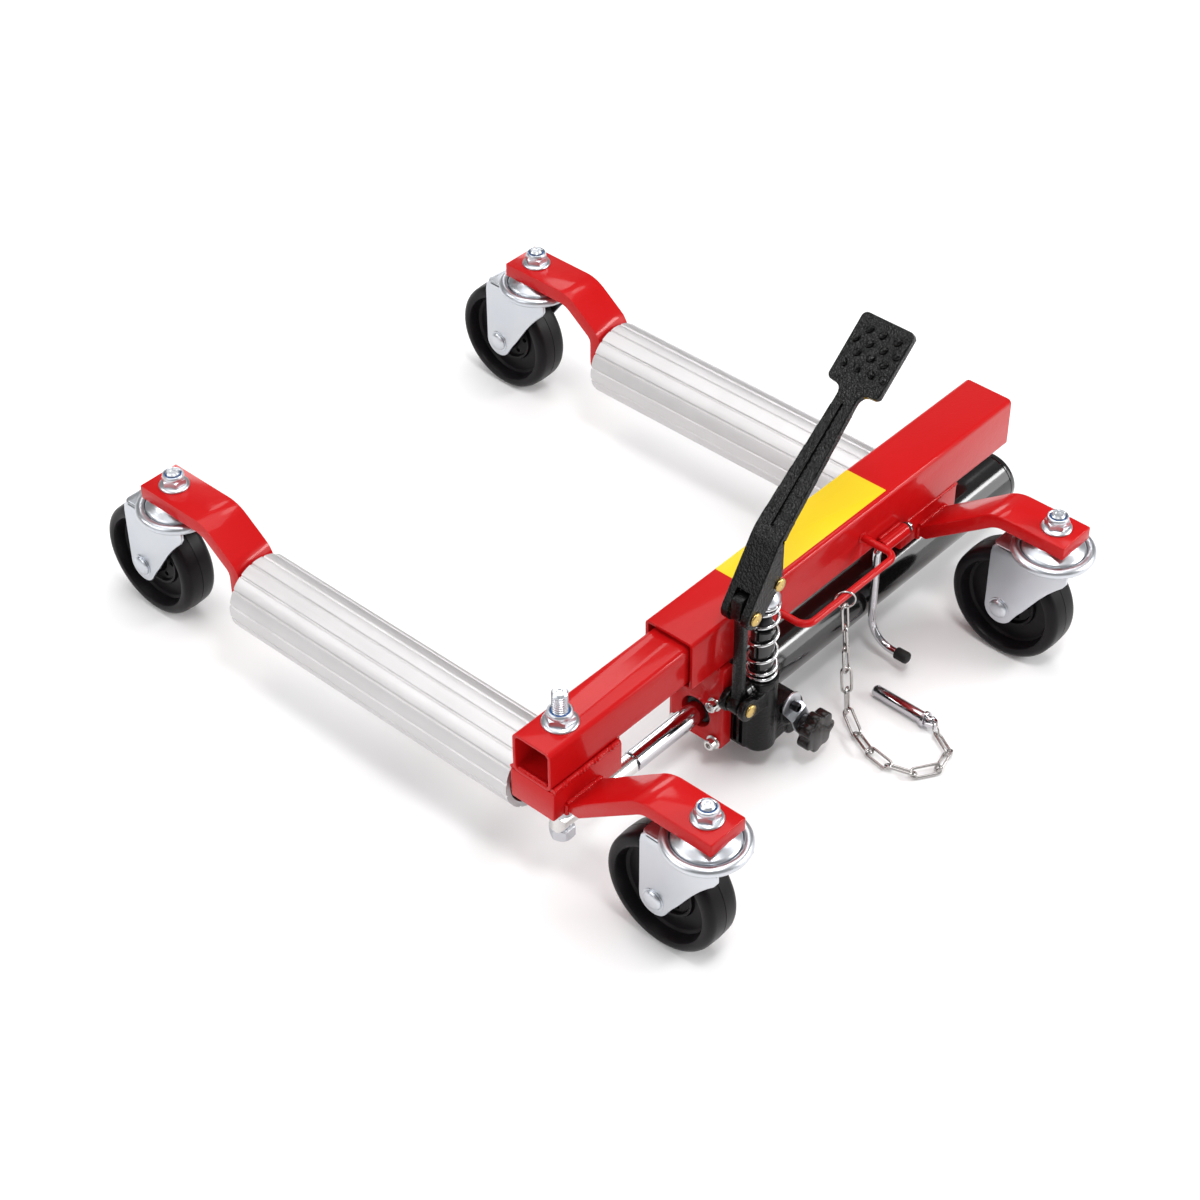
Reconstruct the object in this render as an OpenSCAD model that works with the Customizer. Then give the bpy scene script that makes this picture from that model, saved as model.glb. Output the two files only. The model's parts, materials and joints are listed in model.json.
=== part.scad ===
/* [Beam] */
// Width and height of the outer square tube
outer_w = 50; // [46:1:60]
// Wall of the outer square tube
outer_wall = 3; // [2:0.5:3.5]
// Length of the outer square tube
outer_len = 435; // [400:5:480]
// Width and height of the inner square tube
inner_w = 40; // [36:1:42]
// Wall of the inner square tube
inner_wall = 3; // [2:0.5:5]
// Length of the inner tube that shows beside the outer tube
inner_out = 161; // [150:1:175]
// Length of the inner tube inside the outer tube
inner_in = 252; // [246:2:280]
// Height of the outer tube's underside above the floor
beam_z = 112; // [106:1:120]
// Outside corner radius of both tubes
tube_r = 4; // [3:0.5:6]
// Diameter of the lock pin holes through both tubes
pin_hole_d = 12; // [10:0.5:14]
// Distance of the outer tube's lock pin hole from its mouth
pin_hole_x = 88; // [86:0.5:89]
// Spacing of the lock pin holes in the inner tube
pin_pitch = 25; // [22:1:25]

/* [Cross blocks] */
// Length of each cross block along the beam
block_len = 79; // [74:1:90]
// Width of each cross block across the beam
block_w = 46; // [42:1:50]
// Height of each cross block
block_h = 30; // [26:1:32]

/* [Rollers] */
// Outside diameter of a roller
roller_d = 70.8; // [66:0.2:74]
// Wall of a roller
roller_wall = 5; // [4:0.5:6]
// Length of a roller
roller_len = 321.3; // [300:0.1:321.3]
// Height of the roller axes
roller_z = 88; // [84:1:92]
// Distance between the two roller axes
roller_pitch = 454.6; // [440:1:470]
// Distance of the near roller axis from the outer tube's mouth
near_axis = 127.8; // [122:0.2:134]
// Number of raised lands around a roller
lands = 16; // [12:1:20]
// Diameter of the roller shafts
shaft_d = 20; // [16:1:22]

/* [Arms] */
// Width of the flat bar arms
arm_w = 40; // [36:1:44]
// Thickness of the flat bar arms
arm_t = 13; // [11:0.5:14]
// Height of the arms' top face at the casters
arm_z = 150; // [148:1:156]
// Distance from the beam's centre to the rear caster bolts
rear_reach = 449; // [440:1:465]
// Distance from the beam's centre to the front caster bolts
front_reach = 148; // [144:1:160]
// Length of arm beyond a caster bolt
arm_over = 21; // [18:1:26]
// Slope of the arms between their two levels
arm_slope = 37; // [32:1:40]

/* [Casters] */
// Diameter of a wheel
wheel_d = 110; // [104:1:112]
// Width of a wheel
wheel_w = 34; // [30:1:36]
// Distance of an axle behind its swivel
trail = 33; // [28:1:36]
// Diameter of the rolled rim of a swivel head
head_d = 73; // [68:1:76]
// Thickness of the fork's sheet steel
fork_t = 3; // [2:0.5:4]
// Diameter of the swivel bolts, frame bolt and stems
bolt_d = 12; // [10:1:12]
// Diameter of an axle bolt
axle_d = 10; // [8:1:12]

/* [Ram] */
// Height of the ram's axis
ram_z = 50; // [46:1:50]
// Outside diameter of the ram cylinder
ram_d = 52; // [48:1:54]
// Bore of the ram cylinder
ram_bore = 44; // [40:1:45]
// Diameter of the piston rod
rod_d = 19; // [16:1:22]
// Distance from the beam's mouth to the end of the cylinder cap
ram_end = 458; // [440:1:480]
// Length of polished rod that shows beside the mounting plate
rod_out = 80; // [76:1:90]

/* [Mounting plate] */
// Distance of the mounting plate from the beam's mouth
plate_x = 36; // [34:1:40]
// Thickness of the mounting plate
plate_t = 12; // [10:0.5:14]
// Width of the mounting plate
plate_w = 57; // [54:1:64]
// Spacing of the four cap screws across the plate
screw_dy = 41; // [36:1:42]
// Spacing of the four cap screws up the plate
screw_dz = 43; // [40:1:46]

/* [Pump] */
// Distance of the pump plunger from the beam's mouth
pump_x = 65.5; // [64:0.5:68]
// Distance of the pump plunger from the beam's centre
pump_y = 44; // [43.5:0.5:47]
// Radius of the pump tower
tower_r = 14.3; // [13:0.1:15]
// Height of the pump tower's top face
tower_z = 95; // [92:1:98]
// Diameter of the pump plunger
plunger_d = 14; // [12:0.5:15]
// Distance of the fulcrum link from the beam's mouth
link_x = 36.5; // [34:0.5:38]
// Height of the fulcrum link's lower pin
link_z = 86; // [84:1:88]
// Distance between the fulcrum link's two pins
link_len = 99.5; // [96:0.5:104]
// Diameter of the pump's hinge pins
pin_d = 10; // [8:0.5:10.5]
// Height of the plunger pin
plunger_pin_z = 203; // [201:1:205]
// Diameter of the return spring's wire
spring_wire = 3; // [2:0.2:3.2]
// Outside diameter of the return spring
spring_d = 27; // [25:0.5:27.5]
// Number of turns of the return spring
spring_turns = 6; // [5:1:8]

/* [Pedal] */
// Width of the pedal's fork
fork_w = 28; // [26:0.5:29]
// Width of the slot between the fork's cheeks
slot_w = 13.6; // [12:0.2:14.4]
// Width of the tread pad
pad_w = 50.5; // [46:0.5:60]
// Length of the tread pad
pad_l = 57.3; // [52:0.5:66]
// Distance from the bend to the middle of the tread pad
pad_reach = 162; // [150:1:175]
// Upward angle of the pedal's arm
arm_angle = 40.9; // [38:0.1:43]
// Thickness of the pedal's arm
pedal_t = 7; // [6:0.5:8]
// Height of the tread bumps
bump_h = 1.8; // [1:0.2:3]

/* [Release valve] */
// Distance of the valve axis from the beam's mouth
valve_x = 99; // [97:0.5:102]
// Height of the valve axis
valve_z = 33; // [32:1:36]
// Radius of the release knob over its lobes
knob_r = 18; // [15:0.5:20]
// Length of the release knob
knob_l = 20; // [16:1:24]

/* [Loop, hook and lock pin] */
// Diameter of the guide loop's wire
loop_wire = 6.5; // [5:0.5:7]
// Distance of the guide loop's wire from the beam's side
loop_out = 36; // [32:1:42]
// Distance from the beam's mouth to the loop's first leg
loop_x0 = 100; // [96:1:104]
// Distance from the beam's mouth to the loop's second leg
loop_x1 = 221; // [214:1:224]
// Diameter of the storage hook's wire
hook_wire = 7; // [6:0.5:8]
// Distance from the beam's mouth to the storage hook's leg
hook_x = 236; // [234:1:238]
// Length of the hook barrel
barrel_l = 33; // [26:1:38]
// Length of one chain link inside, from wire to wire
link_pitch = 24; // [22:0.5:26]
// Diameter of the chain's wire
chain_wire = 2.5; // [2:0.1:2.5]
// Diameter of the lock pin
lock_d = 11.4; // [9:0.2:11.6]
// Length of the lock pin's shank
lock_l = 55.5; // [54:0.5:64]

/* [Hidden] */
$fn = 48;

red = "firebrick";
zinc = "lightsteelblue";
black = "dimgray";
run = 0.05; // radial clearance of turning and sliding fits
gap = 0.3; // clearance between loose faces
far_axis = roller_pitch - near_axis;
inner_bottom = beam_z + outer_wall + 0.1;
inner_top = inner_bottom + inner_w;
near_block_x0 = -inner_out;
far_block_x0 = far_axis + 36 - block_len;
roller_y0 = max(block_w, outer_w) / 2 + 1.6;
roller_y1 = roller_y0 + roller_len;
boss_t = 8;
leg_y = roller_y1 + 1.2;
arm_low = arm_z - arm_t;
axle_z = wheel_d / 2;
stem_top = arm_z + 15;
bush_r = roller_d / 2 - roller_wall;
plate_z0 = ram_z - 26.5;
rod_x0 = plate_x - rod_out;
head_x0 = plate_x + plate_t;
head_x1 = head_x0 + 50;
socket = 14;
link_top = link_z + link_len;
spring_z0 = tower_z;
spring_z1 = plunger_pin_z - 23;
bend_r = 10;
loop_z = beam_z + outer_w / 2;
hook_y = outer_w / 2 + 6.35;
hook_z = beam_z + 4.5;
hook_drop = hook_z - 42;
curl_r = 25;
// plan extents, which set the origin at the middle of the footprint
x_low = -near_axis - head_d / 2;
x_high = ram_end;
y_low = -front_reach - head_d / 2;
y_high = rear_reach + trail + wheel_d / 2;

module place() {
    translate([-(x_low + x_high) / 2, -(y_low + y_high) / 2, 0]) children();
}

// profile helpers

module round_square(w, h, r) {
    square([w - 2 * r, h], center = true);
    square([w, h - 2 * r], center = true);
    for (sx = [-1, 1], sy = [-1, 1])
        translate([sx * (w / 2 - r), sy * (h / 2 - r)]) circle(r);
}

module along_x(x0, len) {
    translate([x0, 0, 0]) rotate([90, 0, 90]) linear_extrude(len) children();
}

module along_y(y0, len) {
    translate([0, y0 + len, 0]) rotate([90, 0, 0]) linear_extrude(len) children();
}

module rod_x(x0, x1, d) {
    translate([x0, 0, 0]) rotate([0, 90, 0]) cylinder(d = d, h = x1 - x0);
}

module rod_y(y0, y1, d) {
    translate([0, y1, 0]) rotate([90, 0, 0]) cylinder(d = d, h = y1 - y0);
}

module hexagon(af, h) {
    cylinder(r = af / sqrt(3), h = h, $fn = 6);
}

// quarter of a wire bend: starts along +X at the origin and turns towards +Y
module elbow(r, d, a = 90) {
    translate([0, r, 0]) rotate([0, 0, -90]) rotate_extrude(angle = a)
        translate([r, 0]) circle(d = d);
}

// tubes and blocks

module square_tube(x0, len, w, wall, r, z) {
    along_x(x0, len) translate([0, z]) difference() {
        round_square(w, w, r);
        round_square(w - 2 * wall, w - 2 * wall, max(r - wall, 0.6));
    }
}

module pin_holes(x, z) {
    translate([x, 0, z]) rod_y(-outer_w, outer_w, pin_hole_d);
}

module outer_tube() {
    color(red) place() difference() {
        square_tube(0, outer_len, outer_w, outer_wall, tube_r, beam_z + outer_w / 2);
        pin_holes(pin_hole_x, loop_z);
    }
}

module inner_tube() {
    color(red) place() difference() {
        square_tube(-inner_out, inner_out + inner_in, inner_w, inner_wall, tube_r,
            inner_bottom + inner_w / 2);
        for (k = [-3:6]) pin_holes(pin_hole_x + k * pin_pitch, loop_z);
        translate([-near_axis, 0, inner_bottom - 1]) cylinder(d = bolt_d + 0.5, h = inner_w + 2);
    }
}

// solid bar under a tube, with the boss plate that holds one roller shaft
module cross_block(x0, top, axis) {
    difference() {
        union() {
            along_x(x0, block_len) translate([0, top - block_h / 2]) round_square(block_w, block_h, 2);
            translate([axis, 0, 0]) along_y(block_w / 2 - 3, boss_t + 3) intersection() {
                translate([0, roller_z]) circle(r = bush_r - 1.6);
                translate([0, roller_z]) square([34, 100], center = true);
                translate([0, top - 40]) square([50, 80], center = true);
            }
        }
        translate([axis, 0, roller_z]) rod_y(block_w / 2 - 2, 100, shaft_d + 0.04);
    }
}

module far_cross_block() {
    // the boss is relieved where the ram cylinder passes under it
    color(red) place() difference() {
        cross_block(far_block_x0, beam_z, far_axis);
        translate([0, 0, ram_z]) rod_x(far_block_x0 - 1, far_block_x0 + block_len + 1, ram_d + 0.8);
    }
}

module near_cross_block() {
    color(red) place() difference() {
        cross_block(near_block_x0, inner_bottom, -near_axis);
        translate([-near_axis, 0, inner_bottom - block_h - 1]) cylinder(d = bolt_d + 0.5, h = block_h + 2);
    }
}

// plate that hangs under the beam and carries the pump, with a clear hole for the rod
module mounting_plate() {
    color(red) place() difference() {
        along_x(plate_x, plate_t) difference() {
            translate([-plate_w / 2, plate_z0]) square([plate_w, beam_z - plate_z0]);
            for (s = [-1, 1]) translate([s * plate_w / 2, plate_z0]) rotate(45) square(3, center = true);
        }
        translate([0, 0, ram_z]) rod_x(plate_x - 1, plate_x + plate_t + 1, rod_d + 11);
        for (sy = [-1, 1], sz = [-1, 1])
            translate([0, sy * screw_dy / 2, ram_z + sz * screw_dz / 2])
                rod_x(plate_x - 1, plate_x + plate_t + 1, 7);
    }
}

// bent flat bar arms

// side view of a sloping arm: level leg from u = 0 to the right, a soft bend, then a falling leg
module arm_side(level, drop) {
    r = arm_t + 8;
    down = (drop - r * (1 - cos(arm_slope))) / sin(arm_slope);
    end = [level + r * sin(arm_slope), r * cos(arm_slope) - r] + down * [cos(arm_slope), -sin(arm_slope)];
    outer = [for (k = [0:8]) [level + r * sin(k * arm_slope / 8), r * cos(k * arm_slope / 8) - r]];
    inner = [for (k = [8:-1:0]) [level + 8 * sin(k * arm_slope / 8), 8 * cos(k * arm_slope / 8) - r]];
    polygon(concat([[0, 0]], outer, [end, end - arm_t * [sin(arm_slope), cos(arm_slope)]], inner, [[0, -arm_t]]));
}

module caster_hole(y) {
    translate([0, y, arm_low - 5]) cylinder(d = bolt_d + 0.4, h = arm_t + 10);
}

// arm welded to the face of a cross block
module front_arm(x) {
    level = arm_over + front_reach - 104;
    difference() {
        translate([x - arm_w / 2, 0, 0]) intersection() {
            along_x(0, arm_w) mirror([0, 0]) translate([-front_reach - arm_over, arm_z]) arm_side(level, 80);
            translate([-1, -front_reach - arm_over - 5, beam_z - block_h + 3])
                cube([arm_w + 2, front_reach + arm_over + 5 - block_w / 2, 100]);
        }
        translate([x, 0, 0]) caster_hole(-front_reach);
    }
}

// arm that drops to the free end of a roller and holds its shaft
module rear_arm(x) {
    level = arm_over + rear_reach - (leg_y + 48);
    difference() {
        union() {
            translate([x - arm_w / 2, 0, 0]) intersection() {
                along_x(0, arm_w) translate([rear_reach + arm_over, arm_z]) mirror([1, 0]) arm_side(level, 70);
                translate([-1, leg_y, arm_z - 62]) cube([arm_w + 2, 300, 70]);
            }
            translate([x, 0, 0]) along_y(leg_y, arm_t) {
                translate([0, roller_z]) circle(d = arm_w);
                translate([-arm_w / 2, roller_z]) square([arm_w, 24]);
            }
        }
        translate([x, 0, 0]) caster_hole(rear_reach);
        translate([x, 0, roller_z]) rod_y(leg_y - 1, leg_y + 40, shaft_d + 0.04);
    }
}

module far_rear_arm() {
    color(red) place() rear_arm(far_axis);
}

module far_front_arm() {
    color(red) place() front_arm(far_axis);
}

module near_rear_arm() {
    color(red) place() rear_arm(-near_axis);
}

module near_front_arm() {
    color(red) place() front_arm(-near_axis);
}

// rollers

module roller(x) {
    translate([x, 0, roller_z]) along_y(roller_y0, roller_len) difference() {
        circle(d = roller_d, $fn = 96);
        circle(r = bush_r, $fn = 96);
        for (k = [0:lands - 1]) rotate((k + 0.5) * 360 / lands)
            translate([roller_d / 2, 0]) circle(r = 1.1, $fn = 16);
    }
}

module roller_bushes(x) {
    for (y = [roller_y0 + 10, roller_y1 - 30])
        translate([x, y, roller_z]) rotate([-90, 0, 0]) rotate_extrude() difference() {
            translate([shaft_d / 2 + run, 0]) square([bush_r - 0.05 - shaft_d / 2 - run, 20]);
            translate([shaft_d / 2 + 8, -1]) square([bush_r - shaft_d / 2 - 13, 8]);
        }
}

module roller_shaft(x) {
    translate([x, 0, roller_z]) difference() {
        union() {
            rod_y(block_w / 2 - 2, leg_y + arm_t + 2, shaft_d);
            rod_y(block_w / 2 + boss_t, block_w / 2 + boss_t + 1.5, shaft_d + 8);
        }
        rod_y(leg_y + arm_t + 1, leg_y + arm_t + 4, shaft_d - 9);
    }
}

module near_roller() {
    color("silver") place() roller(-near_axis);
}

module far_roller() {
    color("silver") place() roller(far_axis);
}

module near_roller_bushes() {
    color(black) place() roller_bushes(-near_axis);
}

module far_roller_bushes() {
    color(black) place() roller_bushes(far_axis);
}

module near_roller_shaft() {
    color("gray") place() roller_shaft(-near_axis);
}

module far_roller_shaft() {
    color("gray") place() roller_shaft(far_axis);
}

// swivel casters, drawn about their own swivel axis

module caster_wheel() {
    rim_r = wheel_d / 2 - 12;
    hub_w = wheel_w + 3.4;
    translate([0, trail, axle_z]) rotate([0, 90, 0]) difference() {
        rotate_extrude($fn = 96) difference() {
            union() {
                // rim with rounded shoulders
                translate([rim_r, -wheel_w / 2]) square([6, wheel_w]);
                translate([rim_r, -wheel_w / 2 + 6]) square([12, wheel_w - 12]);
                for (s = [-1, 1]) translate([wheel_d / 2 - 6, s * (wheel_w / 2 - 6)]) circle(r = 6);
                // web, stiffening ring and hub
                translate([axle_d / 2 + 4, -4]) square([rim_r - axle_d / 2 - 2, 8]);
                translate([wheel_d * 0.22, -7]) square([3, 14]);
                translate([axle_d / 2 + run, -hub_w / 2]) square([8, hub_w]);
            }
            translate([wheel_d / 2, 0]) circle(r = 0.5, $fn = 16);
        }
        for (k = [0:5]) rotate(k * 60) translate([axle_d / 2 + 13, 0, 0])
            cylinder(d = 5, h = 20, center = true, $fn = 24);
    }
}

module caster_axle() {
    side = wheel_w / 2 + 2 + fork_t;
    translate([0, trail, axle_z]) {
        rod_x(-side - 2, side + 10, axle_d);
        translate([-side - 2, 0, 0]) rotate([0, -90, 0]) hexagon(16, 4);
        translate([-side - 2, 0, 0]) rod_x(0, 2, 19);
        translate([side, 0, 0]) rotate([0, 90, 0]) hexagon(16, 7);
    }
}

// stamped fork leg in side view, u along the trail
module leg_side() {
    foot = 13;
    difference() {
        union() {
            translate([trail, axle_z]) circle(r = foot);
            polygon([[-head_d / 2 + 3, arm_low - 13], [-head_d / 2 + 3, arm_low - 17], [-18, arm_low - 26],
                [trail - foot * 0.8, axle_z - foot * 0.6], [trail + foot, axle_z],
                [trail + foot, arm_low - 13]]);
        }
        translate([-27, axle_z + 12]) circle(r = 44, $fn = 96);
        translate([trail, axle_z]) circle(d = axle_d + 0.04);
    }
}

module caster_fork() {
    side = wheel_w / 2 + 2;
    crown = arm_low - 18;
    difference() {
        union() {
            for (x = [-side - fork_t, side]) along_x(x, fork_t) leg_side();
            translate([0, 0, crown]) linear_extrude(fork_t) {
                circle(d = head_d - 8);
                translate([-side - fork_t, 0]) square([2 * side + 2 * fork_t, trail + 13]);
            }
            // dished raceway with a rolled rim
            translate([0, 0, crown]) rotate_extrude($fn = 96) {
                translate([bolt_d / 2 + 1, 0]) square([head_d / 2 - 10, 6]);
                translate([head_d / 2 - 4.2, 7]) circle(r = 4.2);
                translate([head_d / 2 - 9, 2]) square([4, 4]);
            }
        }
        translate([0, 0, crown - 2]) cylinder(d = bolt_d + 2 * run, h = 12);
    }
}

// fixed upper race with the stem and its riveted lower head
module caster_stem() {
    crown = arm_low - 18;
    rotate_extrude($fn = 64) {
        translate([0, crown - 5.5]) square([bolt_d / 2, stem_top - crown + 5.5]);
        translate([0, crown - 5.5]) square([bolt_d / 2 + 4, 5.5 - gap]);
        translate([0, crown + 6 + gap]) square([head_d / 2 - 11, 5]);
        translate([0, crown + 8]) square([head_d / 2 - 19, arm_low - crown - 8]);
    }
}

// flange lock nut with its plastic ring, from its seat upwards
module flange_nut() {
    difference() {
        union() {
            cylinder(d1 = bolt_d + 14, d2 = bolt_d + 12, h = 2.5);
            translate([0, 0, 2]) hexagon(bolt_d + 6, 8);
            cylinder(d = bolt_d + 5, h = 13);
        }
        translate([0, 0, -1]) cylinder(d = bolt_d + 0.02, h = 20);
    }
}

module at_casters(x) {
    for (y = [-front_reach, rear_reach]) translate([x, y, 0]) children();
}

module near_rear_fork() { color(zinc) place() translate([-near_axis, rear_reach, 0]) caster_fork(); }
module near_rear_wheel() { color(black) place() translate([-near_axis, rear_reach, 0]) caster_wheel(); }
module near_rear_axle() { color(zinc) place() translate([-near_axis, rear_reach, 0]) caster_axle(); }
module near_front_fork() { color(zinc) place() translate([-near_axis, -front_reach, 0]) caster_fork(); }
module near_front_wheel() { color(black) place() translate([-near_axis, -front_reach, 0]) caster_wheel(); }
module near_front_axle() { color(zinc) place() translate([-near_axis, -front_reach, 0]) caster_axle(); }
module far_rear_fork() { color(zinc) place() translate([far_axis, rear_reach, 0]) caster_fork(); }
module far_rear_wheel() { color(black) place() translate([far_axis, rear_reach, 0]) caster_wheel(); }
module far_rear_axle() { color(zinc) place() translate([far_axis, rear_reach, 0]) caster_axle(); }
module far_front_fork() { color(zinc) place() translate([far_axis, -front_reach, 0]) caster_fork(); }
module far_front_wheel() { color(black) place() translate([far_axis, -front_reach, 0]) caster_wheel(); }
module far_front_axle() { color(zinc) place() translate([far_axis, -front_reach, 0]) caster_axle(); }

module near_caster_stems() {
    color(zinc) place() at_casters(-near_axis) caster_stem();
}

module far_caster_stems() {
    color(zinc) place() at_casters(far_axis) caster_stem();
}

module near_flange_nuts() {
    color(zinc) place() {
        at_casters(-near_axis) translate([0, 0, arm_z]) flange_nut();
        translate([-near_axis, 0, inner_top]) flange_nut();
    }
}

module far_flange_nuts() {
    color(zinc) place() at_casters(far_axis) translate([0, 0, arm_z]) flange_nut();
}

// hydraulic ram

module ram_cylinder() {
    color(black) place() translate([0, 0, ram_z]) difference() {
        rod_x(head_x1 - socket, ram_end - 7, ram_d);
        rod_x(head_x1 - socket - 1, ram_end, ram_bore);
    }
}

module cylinder_end_cap() {
    color(black) place() translate([0, 0, ram_z]) rotate([0, 90, 0]) rotate_extrude($fn = 96) {
        translate([0, ram_end - 20]) square([ram_bore / 2 - 0.05, 14]);
        polygon([[0, ram_end - 6.7], [ram_d / 2, ram_end - 6.7], [ram_d / 2, ram_end - 1.5],
            [ram_d / 2 - 1.5, ram_end], [0, ram_end]]);
    }
}

module rod_gland() {
    color("black") place() translate([0, 0, ram_z]) difference() {
        union() {
            rod_x(plate_x + 3, head_x0 + 12, rod_d + 9.6);
            rod_x(plate_x + 1, plate_x + 4, rod_d + 6);
        }
        rod_x(plate_x, head_x0 + 13, rod_d + 2 * run);
    }
}

module piston_rod() {
    color("gainsboro") place() translate([0, 0, ram_z]) difference() {
        rod_x(rod_x0, 312, rod_d);
        rod_x(rod_x0 - 1, rod_x0 + 12, 10.02);
    }
}

module ram_piston() {
    color("gray") place() translate([0, 0, ram_z]) difference() {
        rod_x(290, 312, ram_bore - 2 * run);
        rod_x(280, 320, rod_d + 0.02);
        for (x = [296, 303]) difference() {
            rod_x(x, x + 3, ram_bore + 2);
            rod_x(x - 1, x + 4, ram_bore - 5);
        }
    }
}

// bolted end of the rod, flattened above and below where the frame bolt passes
module rod_end() {
    eye = -near_axis - 14;
    color("silver") place() translate([0, 0, ram_z]) difference() {
        union() {
            difference() {
                rod_x(eye, rod_x0 - 2, rod_d - 0.6);
                for (s = [-1, 1]) translate([eye - 1, -20, s > 0 ? 8 : -28]) cube([30, 40, 20]);
            }
            rod_x(rod_x0 - 3, rod_x0 + 10, 10);
        }
        translate([-near_axis, 0, -20]) cylinder(d = bolt_d + 0.5, h = 40);
    }
}

module frame_bolt() {
    low = ram_z - 8;
    color(zinc) place() translate([-near_axis, 0, 0]) {
        translate([0, 0, low - 2]) cylinder(d = bolt_d, h = inner_top + 34 - low);
        translate([0, 0, low - 2.5]) cylinder(d1 = bolt_d + 12, d2 = bolt_d + 14, h = 2.5);
        translate([0, 0, low - 10]) hexagon(bolt_d + 6, 8);
    }
}

module bolt_spacer() {
    low = ram_z + 8;
    color(zinc) place() translate([-near_axis, 0, low]) difference() {
        cylinder(d = bolt_d + 9, h = inner_bottom - block_h - low);
        translate([0, 0, -1]) cylinder(d = bolt_d + 0.5, h = 50);
    }
}

// foot pump

module at_pump() {
    translate([pump_x, -pump_y, 0]) children();
}

// outline of the link eyes and lugs in side view
module link_lug(y0, w) {
    translate([0, -pump_y, 0]) along_y(y0, w) {
        translate([link_x, link_z]) circle(r = 10.5);
        translate([link_x, link_z - 10.5]) square([pump_x - link_x, 16]);
    }
}

module pump_body() {
    lug = 13;
    color(black) place() difference() {
        union() {
            // flange against the plate and the boss that holds the cylinder
            along_x(head_x0, 12) translate([0, ram_z]) round_square(plate_w, 53, 9);
            translate([0, 0, ram_z]) rod_x(head_x0 + 11, head_x1, ram_d + 9);
            translate([0, 0, ram_z]) rod_x(head_x1 - 6, head_x1, ram_d + 12);
            // pump tower with its rounded foot and spring seat
            at_pump() rotate_extrude() {
                translate([0, 24]) square([tower_r, tower_z - 24]);
                translate([0, 21]) square([tower_r - 3, 4]);
                translate([tower_r - 3, 24]) circle(r = 3);
                translate([0, tower_z - 5]) square([tower_r + 1, 5]);
            }
            // web that joins the tower to the boss
            translate([head_x0, -pump_y, 26]) cube([pump_x + 12 - head_x0, pump_y - 18, tower_z - 37]);
            translate([pump_x - 10, -pump_y, tower_z - 12]) cube([20, 16, 8]);
            // fork lugs for the fulcrum link
            difference() {
                link_lug(-13.2, 26.4);
                link_lug(-lug / 2, lug);
                at_pump() translate([0, 0, 60]) cylinder(r = tower_r - 1, h = 50);
            }
            // valve housing with a domed foot
            along_y(-pump_y - 14, pump_y - 8) {
                translate([valve_x - 6, valve_z + 15]) circle(r = 14);
                translate([valve_x - 2, valve_z - 3]) circle(r = 11);
                translate([pump_x, valve_z - 8]) square([valve_x - 6 - pump_x, 37]);
            }
        }
        // rod passage, gland seat and cylinder socket
        translate([0, 0, ram_z]) {
            rod_x(head_x0 - 1, head_x1 + 1, rod_d + 2);
            rod_x(head_x0 - 1, head_x0 + 12, rod_d + 9.7);
            rod_x(head_x1 - socket, head_x1 + 0.2, ram_d + 0.1);
            rod_x(head_x1, head_x1 + 20, ram_d + 0.8);
        }
        // plunger bore
        at_pump() translate([0, 0, 36]) cylinder(d = plunger_d + 2 * run, h = 80);
        // threaded holes for the plate screws
        for (sy = [-1, 1], sz = [-1, 1])
            translate([0, sy * screw_dy / 2, ram_z + sz * screw_dz / 2]) rod_x(head_x0 - 1, head_x0 + 11, 6.02);
        // vertical casting pockets beside the tower
        for (y = [-40.5, -34]) translate([head_x0 - 1, y, 30]) cube([4, 3.6, tower_z - 46]);
        // link pin, filler plug, keeper screw and valve spindle
        translate([link_x, 0, link_z]) rod_y(-pump_y - 20, -pump_y + 20, pin_d + 0.02);
        translate([0, -pump_y, tower_z - 4]) rod_x(46, pump_x - 8, 6.02);
        translate([valve_x - 10, 0, valve_z + 25]) rod_y(-pump_y - 20, -pump_y, 5.02);
        translate([valve_x, 0, valve_z]) rod_y(-pump_y - 20, -pump_y + 8, 8 + 2 * run);
    }
}

module socket_screw(d, l, head_h) {
    difference() {
        union() {
            rod_x(0, l, d);
            rod_x(-head_h, 0, d * 1.65);
        }
        translate([-head_h - 1, 0, 0]) rotate([0, 90, 0]) hexagon(d * 0.83, head_h / 2 + 1);
    }
}

module at_pump_screws(x) {
    for (sy = [-1, 1], sz = [-1, 1]) translate([x, sy * screw_dy / 2, ram_z + sz * screw_dz / 2]) children();
}

module pump_screws() {
    color("gainsboro") place() at_pump_screws(plate_x - 1.5) socket_screw(6, plate_t + 11, 6);
}

module pump_washers() {
    color("gainsboro") place() at_pump_screws(plate_x - 1.5) difference() {
        rod_x(0, 1.5, 13.5);
        rod_x(-1, 3, 6.4);
    }
}

module filler_plug() {
    color(zinc) place() translate([0, -pump_y, tower_z - 4]) difference() {
        union() {
            rod_x(pump_x - 17, pump_x - 8.5, 6);
            rod_x(link_x + 9.7, pump_x - tower_r - 1, 9);
        }
        translate([link_x + 9, 0, 0]) rotate([0, 90, 0]) hexagon(4, 3);
    }
}

// zinc plate that keeps the valve spindle in its housing
module valve_keeper() {
    face = -pump_y - 14;
    color(zinc) place() difference() {
        along_y(face - 2, 2) {
            translate([valve_x - 10, valve_z + 24]) circle(r = 12);
            translate([valve_x, valve_z]) circle(r = 9);
            translate([valve_x - 19, valve_z + 4]) square([22, 20]);
        }
        translate([valve_x, 0, valve_z]) rod_y(face - 3, face + 1, 9);
        translate([valve_x - 10, 0, valve_z + 25]) rod_y(face - 3, face + 1, 5.4);
    }
}

module keeper_screw() {
    color("black") place() translate([valve_x - 10, -pump_y - 16, valve_z + 25]) rotate([0, 0, 90])
        socket_screw(5, 14, 5);
}

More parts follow.
